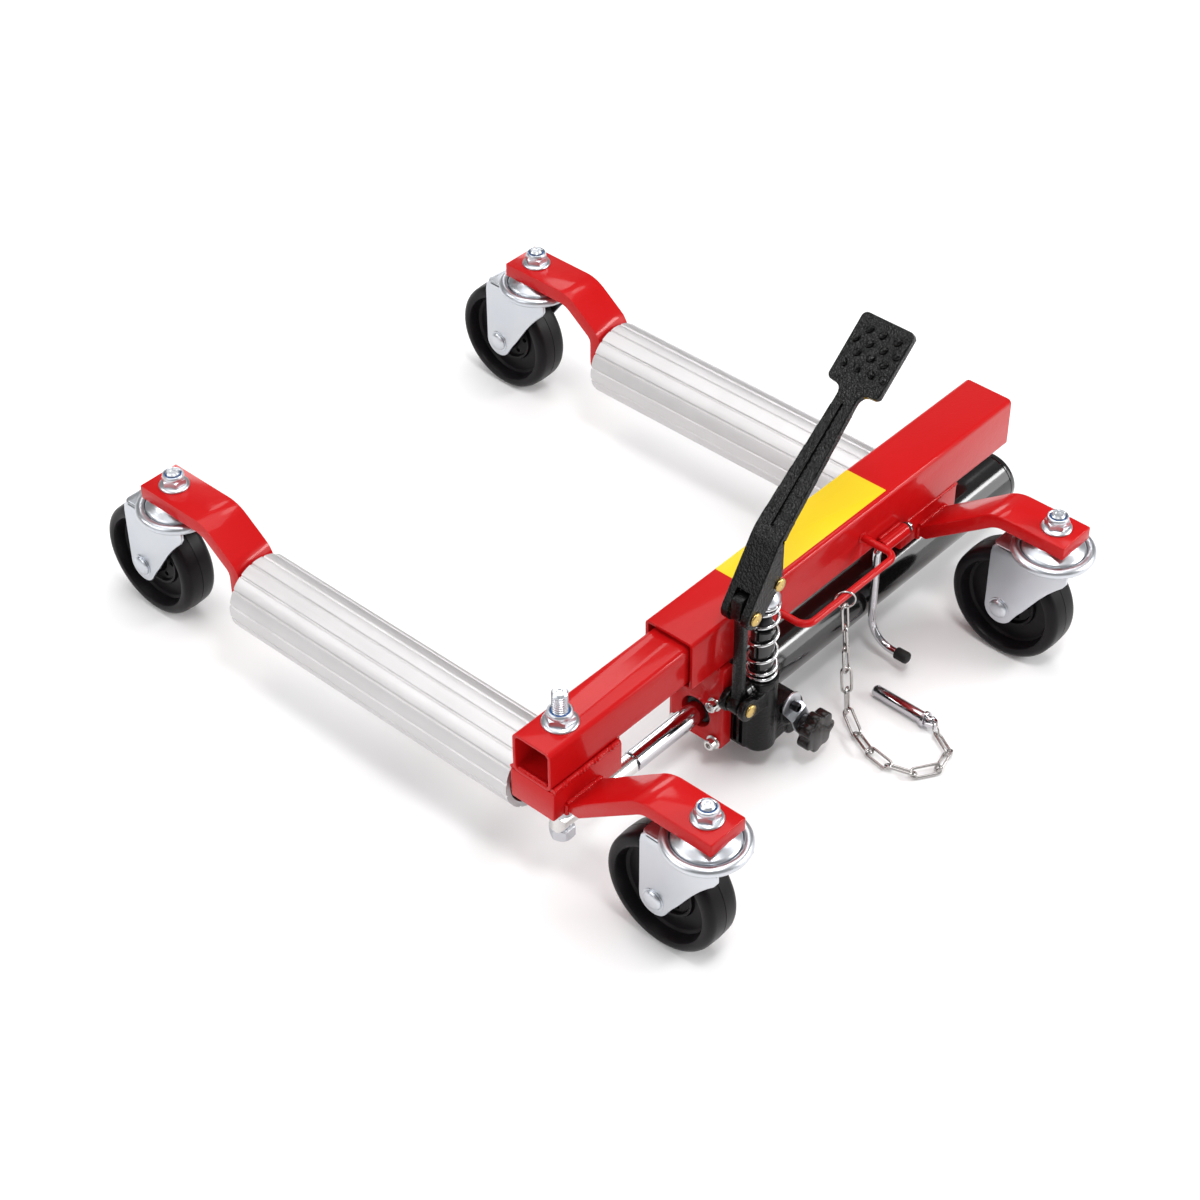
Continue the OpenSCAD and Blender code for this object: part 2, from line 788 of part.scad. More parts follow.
module link_pin(x, z, w) {
    translate([x, 0, z]) {
        rod_y(-pump_y - w / 2 - 1, -pump_y + w / 2 + 1, pin_d);
        rod_y(-pump_y - w / 2 - 1.9, -pump_y - w / 2, pin_d + 2);
        rod_y(-pump_y + w / 2, -pump_y + w / 2 + 1.3, pin_d + 2);
    }
}

module lower_link_pin() {
    color("goldenrod") place() link_pin(link_x, link_z, 26.4);
}

module fulcrum_pin() {
    color("goldenrod") place() link_pin(link_x, link_top, fork_w + 2 * gap);
}

module plunger_pin() {
    color("goldenrod") place() link_pin(pump_x, plunger_pin_z, fork_w + 2 * gap);
}

// upright link that carries the pedal's fulcrum
module fulcrum_link() {
    w = 10;
    color(black) place() difference() {
        translate([0, -pump_y - w / 2, 0]) along_y(0, w) {
            translate([link_x, link_z]) circle(r = 9);
            translate([link_x, link_top]) circle(r = 9);
            translate([link_x - 3, link_z]) square([6, link_len]);
        }
        translate([link_x, 0, link_z]) rod_y(-pump_y - 20, -pump_y + 20, pin_d + 2 * run);
        translate([link_x, 0, link_top]) rod_y(-pump_y - 20, -pump_y + 20, pin_d + 0.02);
    }
}

module pump_plunger() {
    color("black") place() at_pump() difference() {
        union() {
            translate([0, 0, 66]) cylinder(d = plunger_d, h = spring_z1 - 66 + 4);
            translate([0, 0, spring_z1]) cylinder(d1 = spring_d - 2, d2 = spring_d - 6, h = 8);
            translate([0, -5, 0]) along_y(0, 10) {
                translate([0, plunger_pin_z]) circle(r = 8);
                translate([-8, spring_z1 + 6]) square([16, plunger_pin_z - spring_z1 - 6]);
            }
        }
        translate([0, 0, plunger_pin_z]) rod_y(-20, 20, pin_d + 0.02);
    }
}

// open wound spring as one unbroken tube of six-sided rings
spring_r = (spring_d - spring_wire) / 2;
spring_low = spring_z0 + spring_wire / 2;
spring_high = spring_z1 - spring_wire / 2;
rings = spring_turns * 8;
// the first and last six rings lie close to the seats, the rest climb evenly
function coil_low(i) = i * spring_wire / 12;
function coil_mid(i) = let(t = (i - 6) / (rings - 12))
    (spring_high - spring_low) * t + spring_wire / 2 * (1 - 2 * t);
function coil_high(i) = spring_high - spring_low + (i - rings) * spring_wire / 12;
function coil_rise(i) = i <= 6 ? coil_low(i) : i >= rings - 6 ? coil_high(i) : coil_mid(i);
function coil(i) = [spring_r * cos(i * 45), spring_r * sin(i * 45), spring_low + coil_rise(i)];
function coil_ring(i) = [for (k = [0:5]) coil(i)
    + spring_wire / 2 * (cos(k * 60) * [cos(i * 45), sin(i * 45), 0] + sin(k * 60) * [0, 0, 1])];
spring_gap = min([for (i = [0:rings - 8]) coil(i + 8)[2] - coil(i)[2]]) - spring_wire;
echo(least_gap_between_coils = spring_gap);

module return_spring() {
    points = [for (i = [0:rings]) each coil_ring(i)];
    sides = [for (i = [0:rings - 1], k = [0:5]) let(a = 6 * i + k, b = 6 * i + (k + 1) % 6)
        each [[a, a + 6, b + 6], [a, b + 6, b]]];
    first = [for (k = [1:4]) [0, k, k + 1]];
    last = [for (k = [1:4]) [6 * rings, 6 * rings + k + 1, 6 * rings + k]];
    color("silver") place() at_pump() polyhedron(points, concat(first, sides, last));
}

// cast foot pedal

// plan of the arm and tread pad, u along the arm from the bend
module pedal_plan() {
    neck = pad_reach - pad_l / 2;
    half = fork_w / 2 - 0.03; // a hair inside the fork's sides
    polygon([[-2, -half], [4, -half], [neck - 10, -9.2], [neck - 4, -10.5], [neck + 1, -15],
        [neck + 1, 15], [neck - 4, 10.5], [neck - 10, 9.2], [4, half], [-2, half]]);
    translate([pad_reach, 0]) round_square(pad_l, pad_w, 5);
}

module pedal_bumps() {
    rows = [[16.8, 3], [6.1, 4], [-4.4, 3], [-15.1, 4]];
    for (row = rows, k = [0:row[1] - 1])
        translate([pad_reach + row[0], (k - (row[1] - 1) / 2) * 13.2, -1]) {
            cylinder(r = 3.4, h = bump_h);
            cylinder(r = 2.6, h = bump_h + 1);
        }
}

// side view of the whole pedal, in beam coordinates
bend_x = link_x + 27.5;
bend_z = link_top + 63;
along = [cos(arm_angle), sin(arm_angle)];
below = pedal_t * [sin(arm_angle), -cos(arm_angle)];
module pedal_side() {
    bend = [bend_x, bend_z];
    difference() {
        union() {
            polygon([[link_x - 10.2, link_top + 2], bend, bend + (pad_reach + pad_l / 2) * along,
                bend + (pad_reach + pad_l / 2) * along + below, bend + 9 * along + below,
                [pump_x + 4, bend_z - 7], [pump_x + 4, plunger_pin_z + 1],
                [pump_x - 4, plunger_pin_z - 7.5], [link_x + 6.5, link_top - 8]]);
            translate([link_x, link_top]) circle(r = 10.2);
        }
        translate([link_x, link_top]) circle(d = pin_d + 2 * run);
        // slack hole that lets the plunger pin move along the cheek through the stroke
        translate([pump_x, plunger_pin_z]) circle(d = pin_d + 3.6);
    }
}

module at_pedal_arm() {
    translate([bend_x, 0, bend_z]) rotate([0, -arm_angle, 0]) children();
}

module foot_pedal() {
    neck = pad_reach - pad_l / 2 - 10;
    color(black) place() translate([0, -pump_y, 0]) difference() {
        union() {
            intersection() {
                along_y(-pad_w / 2, pad_w) pedal_side();
                union() {
                    translate([link_x - 30, -fork_w / 2, link_top - 30]) cube([70, fork_w, bend_z - 6 - link_top + 30]);
                    translate([link_x - 30, -fork_w / 2, link_top]) cube([32 + bend_x - link_x, fork_w, bend_z + 1 - link_top]);
                    at_pedal_arm() translate([0, 0, -30]) linear_extrude(60) pedal_plan();
                }
            }
            at_pedal_arm() {
                // raised rib along the middle of the arm
                translate([3, -1.6, -1]) cube([neck - 8, 3.2, 2.4]);
                pedal_bumps();
            }
        }
        // hollow under side between two edge ribs
        at_pedal_arm() translate([0, 0, -pedal_t - 1]) linear_extrude(3.5)
            polygon([[18, 5 - fork_w / 2], [neck, -6], [neck, 6], [18, fork_w / 2 - 5]]);
        // slot between the cheeks, open below and behind
        along_y(-slot_w / 2, slot_w) polygon([[link_x - 25, link_top - 20], [pump_x + 12, link_top - 20],
            [pump_x + 12, bend_z - 13], [bend_x - 1, bend_z - 13], [link_x + 8, link_top + 19],
            [link_x, link_top + 22], [link_x - 25, link_top + 22]]);
    }
}

// release knob with its spindle and finger lobes
module release_knob() {
    face = -pump_y - 20;
    color("black") place() translate([valve_x, 0, valve_z]) {
        difference() {
            rod_y(face - knob_l, face, 2 * knob_r);
            for (k = [0:6]) rotate([0, k * 360 / 7, 0]) translate([knob_r + 3.6, 0, 0])
                rod_y(face - knob_l - 1, face - 3, 13);
        }
        rod_y(face - 1, face + 0.6, 16);
        rod_y(face - 2, -pump_y + 6, 8);
    }
}

// guide loop, storage hook and chained lock pin

module guide_loop() {
    y0 = -outer_w / 2;
    y1 = y0 - loop_out;
    color(red) place() translate([0, 0, loop_z]) {
        for (x = [loop_x0, loop_x1]) translate([x, 0, 0]) rod_y(y1 + bend_r, y0, loop_wire);
        translate([0, y1, 0]) rod_x(loop_x0 + bend_r, loop_x1 - bend_r, loop_wire);
        translate([loop_x1 - bend_r, y1, 0]) elbow(bend_r, loop_wire);
        translate([loop_x0 + bend_r, y1, 0]) mirror([1, 0, 0]) elbow(bend_r, loop_wire);
    }
}

module hook_barrel() {
    color(red) place() translate([0, -hook_y, hook_z]) difference() {
        rod_x(hook_x + 6, hook_x + 6 + barrel_l, 12.6);
        rod_x(hook_x, hook_x + barrel_l + 10, hook_wire + 2 * run);
    }
}

module hook_curl() {
    translate([hook_x, -hook_y, hook_z - hook_drop]) rotate([0, 90, 0]) rotate([180, 0, 0]) children();
}

module storage_hook() {
    head = hook_x + 6 + barrel_l;
    color("gainsboro") place() {
        translate([0, -hook_y, hook_z]) {
            rod_x(hook_x + 5, head + 2, hook_wire);
            rod_x(head + 0.4, head + 2, 11.5);
            rod_x(head + 2, head + 6, 10);
            translate([hook_x + 5, 0, 0]) rotate([0, 0, 180]) rotate([-90, 0, 0]) elbow(5, hook_wire);
            translate([hook_x, 0, -hook_drop]) cylinder(d = hook_wire, h = hook_drop - 5);
        }
        hook_curl() elbow(curl_r, hook_wire);
        translate([hook_x, 0, hook_z - hook_drop - curl_r])
            rod_y(-hook_y - curl_r - 14, -hook_y - curl_r, hook_wire);
    }
}

// rubber cap on the foot of the hook
module hook_cap() {
    color("black") place() translate([hook_x, -hook_y - curl_r, hook_z - hook_drop - curl_r]) difference() {
        union() {
            rod_y(-15, -4, hook_wire + 4);
            translate([0, -15, 0]) rotate([90, 0, 0]) cylinder(d1 = hook_wire + 4, d2 = hook_wire, h = 2);
        }
        rod_y(-14, -3, hook_wire + 0.02);
    }
}

// oval chain link about its middle, long side along X, flat in XY
module oval_link(w) {
    half = (link_pitch + chain_wire + gap) / 2 - w / 2;
    for (s = [-1, 1]) {
        translate([0, s * w / 2, 0]) rod_x(-half, half, chain_wire);
        translate([s * half, 0, 0]) rotate([0, 0, s > 0 ? -90 : 90]) rotate_extrude(angle = 180)
            translate([w / 2, 0]) circle(d = chain_wire, $fn = 24);
    }
}

// one link from point a to point b, rolled about its own length
module link_between(a, b, roll) {
    d = b - a;
    flat = norm([d[0], d[1]]);
    translate((a + b) / 2) rotate([0, -atan2(d[2], flat), atan2(d[1], d[0])]) rotate([roll, 0, 0])
        oval_link(8.2);
}

ring_r = 8.5;
ring_wire = 1.6;
ring_at = [152, -outer_w / 2 - loop_out, loop_z + loop_wire / 2 + gap - ring_r + ring_wire / 2];
ring_turn = 42;
chain_top = ring_at[2] - ring_r - ring_wire / 2;
lay = chain_wire / 2 + 4.1 * sin(45) + gap;
chain_hook = [ring_at[0], ring_at[1], chain_top + ring_wire + gap / 2];
hung = 5;
chain_foot = [ring_at[0] + 1, ring_at[1] - 10, 13];
// headings of the links that lie on the floor, in degrees
headings = [241, 246, 261, 287, 327, 14, 61];
// turn of each link about its own length
rolls = [0, 132, -1, 48, -17, 40, -25, 27, -28, 38, -38, 38];
function floor_point(i) = i == 0 ? [chain_foot[0], chain_foot[1], lay + 0.6]
    : floor_point(i - 1) + (link_pitch - 1.7) * [cos(headings[i - 1]), sin(headings[i - 1]), 0];
function joint(i) = i <= hung ? chain_hook + (chain_foot - chain_hook) * i / hung : floor_point(i - hung);

module wire_ring(r) {
    rotate_extrude() translate([r, 0]) circle(d = ring_wire, $fn = 24);
}

// upper ring on the guide loop, and the small ring that joins the chain to the lock pin
module chain_rings() {
    color("gainsboro") place() {
        translate(ring_at) rotate([0, 0, ring_turn]) rotate([0, 90, 0]) wire_ring(ring_r);
        translate([0, 0, small_r + ring_wire / 2 + gap]) translate(chain_end_flat + (small_r - 2.05) * pin_dir)
            rotate([0, 0, atan2(pin_dir[1], pin_dir[0])]) rotate([90, 0, 0]) wire_ring(small_r);
    }
}

module lock_chain() {
    color("gainsboro") place() for (i = [0:len(rolls) - 1]) link_between(joint(i), joint(i + 1), rolls[i]);
}

// lock pin lying on the floor, with its collar and a flat pierced head
small_r = 6.5;
pin_dir = [0.527, 0.85, 0];
chain_end = floor_point(len(headings));
chain_end_flat = [chain_end[0], chain_end[1], 0];
pin_at = chain_end_flat + (2 * small_r - 1.35) * pin_dir;
pin_z = 7 + gap + 0.15;
pin_tilt = atan((pin_z - lock_d / 2 - gap) / (lock_l + 6));
module lock_pin() {
    color("gainsboro") place() translate([pin_at[0], pin_at[1], pin_z]) rotate([-pin_tilt, 0, -2.2])
    difference() {
        union() {
            intersection() {
                rod_y(-4.3, 5, 12);
                cube([20, 20, 4], center = true);
            }
            rod_y(2.6, 8, 14);
            rod_y(7, 8 + lock_l - 2, lock_d);
            translate([0, 8 + lock_l - 2, 0]) rotate([-90, 0, 0]) cylinder(d1 = lock_d, d2 = lock_d - 3, h = 2);
        }
        translate([0, 0, -10]) cylinder(d = 4.6, h = 20);
    }
}

outer_tube();
far_cross_block();
mounting_plate();
far_rear_arm();
far_front_arm();
guide_loop();
hook_barrel();
ram_cylinder();
cylinder_end_cap();
rod_gland();
pump_body();
pump_screws();
pump_washers();
filler_plug();
valve_keeper();
keeper_screw();
lower_link_pin();
far_roller_shaft();
far_caster_stems();
far_flange_nuts();
chain_rings();
lock_chain();
inner_tube();
near_cross_block();
near_rear_arm();
near_front_arm();
near_roller_shaft();
near_caster_stems();
near_flange_nuts();
frame_bolt();
bolt_spacer();
rod_end();
piston_rod();
ram_piston();
near_roller();
near_roller_bushes();
far_roller();
far_roller_bushes();
near_rear_fork();
near_rear_wheel();
near_rear_axle();
near_front_fork();
near_front_wheel();
near_front_axle();
far_rear_fork();
far_rear_wheel();
far_rear_axle();
far_front_fork();
far_front_wheel();
far_front_axle();
fulcrum_link();
fulcrum_pin();
foot_pedal();
pump_plunger();
plunger_pin();
return_spring();
release_knob();
storage_hook();
hook_cap();
lock_pin();
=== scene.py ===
import bpy
import json
import math
from math import cos, radians, sin
from mathutils import Matrix, Vector


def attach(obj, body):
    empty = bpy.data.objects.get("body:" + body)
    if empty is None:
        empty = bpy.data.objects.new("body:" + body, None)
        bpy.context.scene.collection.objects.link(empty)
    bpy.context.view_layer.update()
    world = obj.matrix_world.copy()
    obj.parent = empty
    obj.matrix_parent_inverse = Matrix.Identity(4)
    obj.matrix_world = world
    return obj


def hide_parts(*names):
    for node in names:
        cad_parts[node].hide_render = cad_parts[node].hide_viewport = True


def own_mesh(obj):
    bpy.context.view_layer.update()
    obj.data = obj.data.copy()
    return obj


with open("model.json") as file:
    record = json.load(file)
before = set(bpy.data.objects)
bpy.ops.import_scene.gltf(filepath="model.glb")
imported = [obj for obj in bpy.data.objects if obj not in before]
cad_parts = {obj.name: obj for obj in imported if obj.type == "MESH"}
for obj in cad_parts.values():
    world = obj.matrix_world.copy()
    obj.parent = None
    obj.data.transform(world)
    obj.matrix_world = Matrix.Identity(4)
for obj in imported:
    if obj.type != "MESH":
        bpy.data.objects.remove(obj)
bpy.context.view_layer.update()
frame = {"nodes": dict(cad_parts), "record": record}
print("frame loaded")

# All shapes are drawn in millimetres from the mouth of the outer tube, on the floor,
# and settle() turns them into metres about the middle of the footprint.
mouth = Vector((146.85, 176.25, 0))
tau = 2 * math.pi


def clearSelection():
    if bpy.context.object and bpy.context.object.mode != "OBJECT":
        bpy.ops.object.mode_set(mode="OBJECT")
    for other in bpy.context.selected_objects:
        other.select_set(False)


def hold(piece):
    clearSelection()
    piece.select_set(True)
    bpy.context.view_layer.objects.active = piece
    return piece


def startMesh(name, points, edges=(), faces=()):
    data = bpy.data.meshes.new(name)
    data.from_pydata([tuple(p) for p in points], edges, faces)
    piece = bpy.data.objects.new(name, data)
    bpy.context.collection.objects.link(piece)
    return hold(piece)


def editAll(step, **options):
    bpy.ops.object.mode_set(mode="EDIT")
    bpy.ops.mesh.select_all(action="SELECT")
    step(**options)
    bpy.ops.mesh.select_all(action="SELECT")
    bpy.ops.mesh.remove_doubles(threshold=0.002)
    bpy.ops.mesh.normals_make_consistent(inside=False)
    bpy.ops.object.mode_set(mode="OBJECT")


def modify(piece, kind, **settings):
    modifier = piece.modifiers.new(kind.lower(), kind)
    for key, setting in settings.items():
        setattr(modifier, key, setting)
    hold(piece)
    bpy.ops.object.modifier_apply(modifier=modifier.name)
    return piece


def soften(piece, width, segments=2, angle=35):
    return modify(piece, "BEVEL", width=width, segments=segments, limit_method="ANGLE",
                  angle_limit=radians(angle), use_clamp_overlap=True)


def onAxis(axis, u, v, w):
    return {"x": (w, u, v), "y": (u, w, v), "z": (u, v, w)}[axis]


# flat outline, extruded along an axis from start by depth
def plate(name, outline, axis, start, depth, edge=0.0, segments=2):
    piece = startMesh(name, [onAxis(axis, u, v, start) for u, v in outline],
                      faces=[list(range(len(outline)))])
    editAll(bpy.ops.mesh.extrude_region_move, TRANSFORM_OT_translate={"value": onAxis(axis, 0, 0, depth)})
    return soften(piece, edge, segments) if edge else piece


# two outlines with the same number of points, extruded as a tube
def hollow(name, outer, inner, axis, start, depth, edge=0.4):
    count = len(outer)
    points = [onAxis(axis, u, v, start) for u, v in outer + inner]
    faces = [[i, (i + 1) % count, count + (i + 1) % count, count + i] for i in range(count)]
    piece = startMesh(name, points, faces=faces)
    editAll(bpy.ops.mesh.extrude_region_move, TRANSFORM_OT_translate={"value": onAxis(axis, 0, 0, depth)})
    return soften(piece, edge, 2, 50) if edge else piece


# profile of (radius, height) spun about an axis through centre
def turned(name, profile, axis, centre=(0, 0, 0), steps=64, edge=0.0):
    lie = {"x": lambda r, h: (h, r, 0), "y": lambda r, h: (r, h, 0), "z": lambda r, h: (r, 0, h)}[axis]
    points = [Vector(lie(r, h)) + Vector(centre) for r, h in profile]
    edges = [(i, i + 1) for i in range(len(points) - 1)]
    if profile[0][0] > 0 or profile[-1][0] > 0:
        edges.append((len(points) - 1, 0))
    piece = startMesh(name, points, edges=edges)
    editAll(bpy.ops.mesh.spin, steps=steps, angle=tau, center=centre,
            axis={"x": (1, 0, 0), "y": (0, 1, 0), "z": (0, 0, 1)}[axis])
    return soften(piece, edge, 2) if edge else piece


# round wire through points, with a radius factor at each point if given
def wire(name, points, radius, closed=False, fine=4, swell=None):
    curve = bpy.data.curves.new(name, "CURVE")
    curve.dimensions = "3D"
    curve.bevel_depth = radius
    curve.bevel_resolution = fine
    curve.use_fill_caps = True
    spline = curve.splines.new("POLY")
    spline.points.add(len(points) - 1)
    for i, p in enumerate(points):
        spline.points[i].co = (*p, 1)
        spline.points[i].radius = swell[i] if swell else 1
    spline.use_cyclic_u = closed
    piece = bpy.data.objects.new(name, curve)
    bpy.context.collection.objects.link(piece)
    hold(piece)
    bpy.ops.object.convert(target="MESH")
    editAll(bpy.ops.mesh.remove_doubles, threshold=0.001)
    return piece


def carve(piece, *tools, how="DIFFERENCE"):
    for tool in tools:
        modify(piece, "BOOLEAN", object=tool, operation=how, solver="EXACT")
        bpy.data.objects.remove(tool)
    return piece


def together(name, parts):
    hold(parts[0])
    for other in parts[1:]:
        other.select_set(True)
    bpy.ops.object.join()
    parts[0].name = parts[0].data.name = name
    return parts[0]


# one casting out of overlapping shapes, with its inner corners run together
def cast(piece, grain, rounds):
    modify(piece, "REMESH", mode="VOXEL", voxel_size=grain)
    return modify(piece, "SMOOTH", factor=0.5, iterations=rounds)


def turnPiece(piece, matrix):
    piece.data.transform(matrix)
    return piece


def twin(piece, name):
    copy = piece.copy()
    copy.data = piece.data.copy()
    copy.name = copy.data.name = name
    bpy.context.collection.objects.link(copy)
    return copy


def settle(piece, body, slot, finish, *nodes, crease=35):
    piece.data.transform(Matrix.Scale(0.001, 4) @ Matrix.Translation(-mouth))
    hold(piece)
    bpy.ops.object.shade_smooth_by_angle(angle=radians(crease))
    piece.data.materials.clear()
    piece.data.materials.append(finish)
    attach(piece, body)
    if nodes:
        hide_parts(*nodes)
    return piece


def arc(cu, cv, r, start, end, steps):
    turn = [radians(start + (end - start) * k / steps) for k in range(steps + 1)]
    return [(cu + r * cos(t), cv + r * sin(t)) for t in turn]


def disc(cu, cv, r, steps=48):
    return arc(cu, cv, r, 0, 360, steps)[:-1]


def roundedBox(cu, cv, w, h, r, steps=6):
    u, v = w / 2 - r, h / 2 - r
    return (arc(cu + u, cv + v, r, 0, 90, steps) + arc(cu - u, cv + v, r, 90, 180, steps)
            + arc(cu - u, cv - v, r, 180, 270, steps) + arc(cu + u, cv - v, r, 270, 360, steps))


def hexagon(cu, cv, flats):
    return disc(cu, cv, flats / math.sqrt(3), 6)


def box(u0, v0, u1, v1):
    return [(u0, v0), (u1, v0), (u1, v1), (u0, v1)]


class Signal:
    def __init__(self, tree, socket):
        self.tree, self.socket = tree, socket

    def maths(self, operation, first, second):
        node = self.tree.nodes.new("ShaderNodeMath")
        node.operation = operation
        for slot, part in zip(node.inputs, (first, second)):
            if isinstance(part, Signal):
                self.tree.links.new(part.socket, slot)
            else:
                slot.default_value = part
        return Signal(self.tree, node.outputs[0])

    def __add__(self, other):
        return self.maths("ADD", self, other)

    __radd__ = __add__

    def __sub__(self, other):
        return self.maths("SUBTRACT", self, other)

    def __rsub__(self, other):
        return self.maths("SUBTRACT", other, self)

    def __mul__(self, other):
        return self.maths("MULTIPLY", self, other)

    __rmul__ = __mul__


class Finish:
    def __init__(self, name, colour, roughness, metallic=0.0, **fixed):
        self.material = bpy.data.materials.new(name)
        self.material.use_nodes = True
        self.tree = self.material.node_tree
        self.shader = self.tree.nodes["Principled BSDF"]
        self.shader.inputs["Base Color"].default_value = (*colour, 1)
        self.shader.inputs["Roughness"].default_value = roughness
        self.shader.inputs["Metallic"].default_value = metallic
        for key, setting in fixed.items():
            self.shader.inputs[key.replace("_", " ")].default_value = setting
        self.place = self.node("ShaderNodeTexCoord", out="Object").socket

    def node(self, kind, settings=None, out=0, **links):
        node = self.tree.nodes.new(kind)
        for key, setting in (settings or {}).items():
            setattr(node, key, setting)
        for key, part in links.items():
            socket = node.inputs[key.replace("_", " ")]
            if isinstance(part, Signal):
                self.tree.links.new(part.socket, socket)
            else:
                socket.default_value = part
        return Signal(self.tree, node.outputs[out])

    def at(self):
        return Signal(self.tree, self.place)

    def mapped(self, scale):
        return self.node("ShaderNodeMapping", Vector=self.at(), Scale=scale)

    def noise(self, scale, detail=3.0, stretch=(1, 1, 1)):
        return self.node("ShaderNodeTexNoise", Vector=self.mapped(stretch), Scale=scale, Detail=detail)

    def cells(self, scale, feature="F1"):
        return self.node("ShaderNodeTexVoronoi", {"feature": feature}, Vector=self.at(), Scale=scale)

    def blend(self, factor, first, second):
        mix = self.tree.nodes.new("ShaderNodeMix")
        mix.data_type = "RGBA"
        self.tree.links.new(factor.socket, mix.inputs["Factor"])
        for socket, colour in ((mix.inputs[6], first), (mix.inputs[7], second)):
            socket.default_value = (*colour, 1)
        return Signal(self.tree, mix.outputs[2])

    def feed(self, socket, signal):
        self.tree.links.new(signal.socket, self.shader.inputs[socket])

    def bump(self, height, strength, distance):
        self.feed("Normal", self.node("ShaderNodeBump", Height=height, Strength=strength,
                                      Distance=distance))


def paint(name, colour, dark, rough, peel=0.2, gloss=0.25):
    f = Finish(name, colour, rough, Specular_IOR_Level=gloss, Coat_Weight=0.3, Coat_Roughness=0.07)
    f.feed("Base Color", f.blend(f.noise(9), colour, dark))
    f.feed("Roughness", rough - 0.04 + f.noise(60, 2) * 0.09)
    f.bump(f.noise(420, 2) + f.noise(110, 1) * 0.7, peel, 0.0005)
    return f.material


def metal(name, colour, tint, rough, spread, stretch=(1, 1, 1), scale=140, bumpy=0.06):
    f = Finish(name, colour, rough, 1.0)
    f.feed("Base Color", f.blend(f.noise(24), colour, tint))
    f.feed("Roughness", rough - spread / 2 + f.noise(scale, 4, stretch) * spread)
    f.bump(f.noise(scale * 2, 3, stretch), bumpy, 0.0003)
    return f.material


def plastic(name, colour, tint, rough, scale=700, bumpy=0.12, gloss=0.3):
    f = Finish(name, colour, rough, Specular_IOR_Level=gloss)
    f.feed("Base Color", f.blend(f.noise(30), colour, tint))
    f.feed("Roughness", rough - 0.05 + f.noise(120, 3) * 0.1)
    f.bump(f.noise(scale, 2), bumpy, 0.0003)
    return f.material


def hammered(name, colour, tint, rough, scale, depth, strength):
    f = Finish(name, colour, rough, Specular_IOR_Level=0.19)
    f.feed("Base Color", f.blend(f.noise(60), colour, tint))
    f.feed("Roughness", rough - 0.06 + f.noise(200, 2) * 0.12)
    f.bump(f.cells(scale) * 0.6 + f.noise(scale * 0.8, 2), strength, depth)
    return f.material


finishes = {
    "red_paint": paint("redPaint", (0.50, 0.006, 0.007), (0.45, 0.005, 0.006), 0.30, 0.22, 0.05),
    "black_enamel": paint("blackEnamel", (0.006, 0.006, 0.006), (0.004, 0.004, 0.004), 0.14, 0.04, 0.5),
    "black_cast_iron": hammered("paintedCasting", (0.002, 0.002, 0.002), (0.004, 0.004, 0.004), 0.22, 620,
                                0.0005, 0.6),
    "pedal_enamel": hammered("hammeredEnamel", (0.002, 0.002, 0.002), (0.004, 0.004, 0.004), 0.15, 520,
                             0.0006, 0.8),
    "black_oxide": metal("blackOxide", (0.030, 0.030, 0.034), (0.020, 0.020, 0.022), 0.34, 0.14),
    "bright_plating": metal("brightPlating", (0.74, 0.73, 0.71), (0.66, 0.66, 0.66), 0.22, 0.10),
    "blue_zinc": metal("blueZinc", (0.60, 0.61, 0.63), (0.52, 0.55, 0.60), 0.33, 0.12, bumpy=0.03),
    "yellow_zinc": metal("yellowZinc", (0.62, 0.42, 0.11), (0.50, 0.36, 0.15), 0.26, 0.16, bumpy=0.3),
    "chrome": metal("chromePlate", (0.57, 0.56, 0.58), (0.53, 0.52, 0.55), 0.10, 0.05, bumpy=0.01),
    "brushed_steel": metal("machinedSteel", (0.56, 0.56, 0.57), (0.48, 0.48, 0.49), 0.34, 0.16,
                           (1, 12, 12)),
    "roller_aluminium": metal("rollerAluminium", (0.64, 0.625, 0.63), (0.58, 0.565, 0.57), 0.53, 0.16,
                              (14, 0.5, 14), 60, 0.2),
    "black_nylon": plastic("blackNylon", (0.008, 0.008, 0.008), (0.012, 0.012, 0.012), 0.50),
    "wheel_nylon": plastic("wheelNylon", (0.005, 0.004, 0.005), (0.008, 0.007, 0.008), 0.36, 500, 0.16,
                           0.12),
    "chain_steel": metal("chainSteel", (0.50, 0.48, 0.47), (0.42, 0.41, 0.40), 0.20, 0.10),
    "spring_steel": metal("springSteel", (0.74, 0.74, 0.75), (0.66, 0.67, 0.68), 0.20, 0.10),
    "knob_plastic": plastic("knobPlastic", (0.009, 0.007, 0.007), (0.014, 0.011, 0.011), 0.15, 300, 0.03,
                            0.3),
    "cap_rubber": plastic("capRubber", (0.008, 0.008, 0.008), (0.012, 0.012, 0.012), 0.62),
    "blue_ring": plastic("blueRing", (0.02, 0.11, 0.36), (0.03, 0.14, 0.42), 0.40),
    "yellow_film": plastic("yellowFilm", (0.80, 0.55, 0.010), (0.76, 0.52, 0.009), 0.32, 900, 0.04, 0.2),
}
slotOf = {part["node"]: part["material_slot"] for part in frame["record"]["subparts"]}
for node, solid in frame["nodes"].items():
    for socket in solid.material_slots:
        socket.material = finishes[slotOf[node]]
    if not solid.material_slots:
        solid.data.materials.append(finishes[slotOf[node]])
print("finishes made")


def dress(piece, body, slot, *nodes, crease=35):
    return settle(piece, body, slot, finishes[slot], *nodes, crease=crease)


def weldPath(start, end, gap):
    a, b = Vector(start), Vector(end)
    count = max(2, int((b - a).length / gap))
    return [a.lerp(b, i / count) for i in range(count + 1)]


def weld(points, radius, closed=False):
    swell = [1 + 0.16 * cos(i * tau / 3) + 0.07 * sin(i * 1.7) for i in range(len(points))]
    return wire("bead", points, radius, closed, 3, swell)


def seam(start, end, radius, gap=1.1):
    return weld(weldPath(start, end, gap), radius)


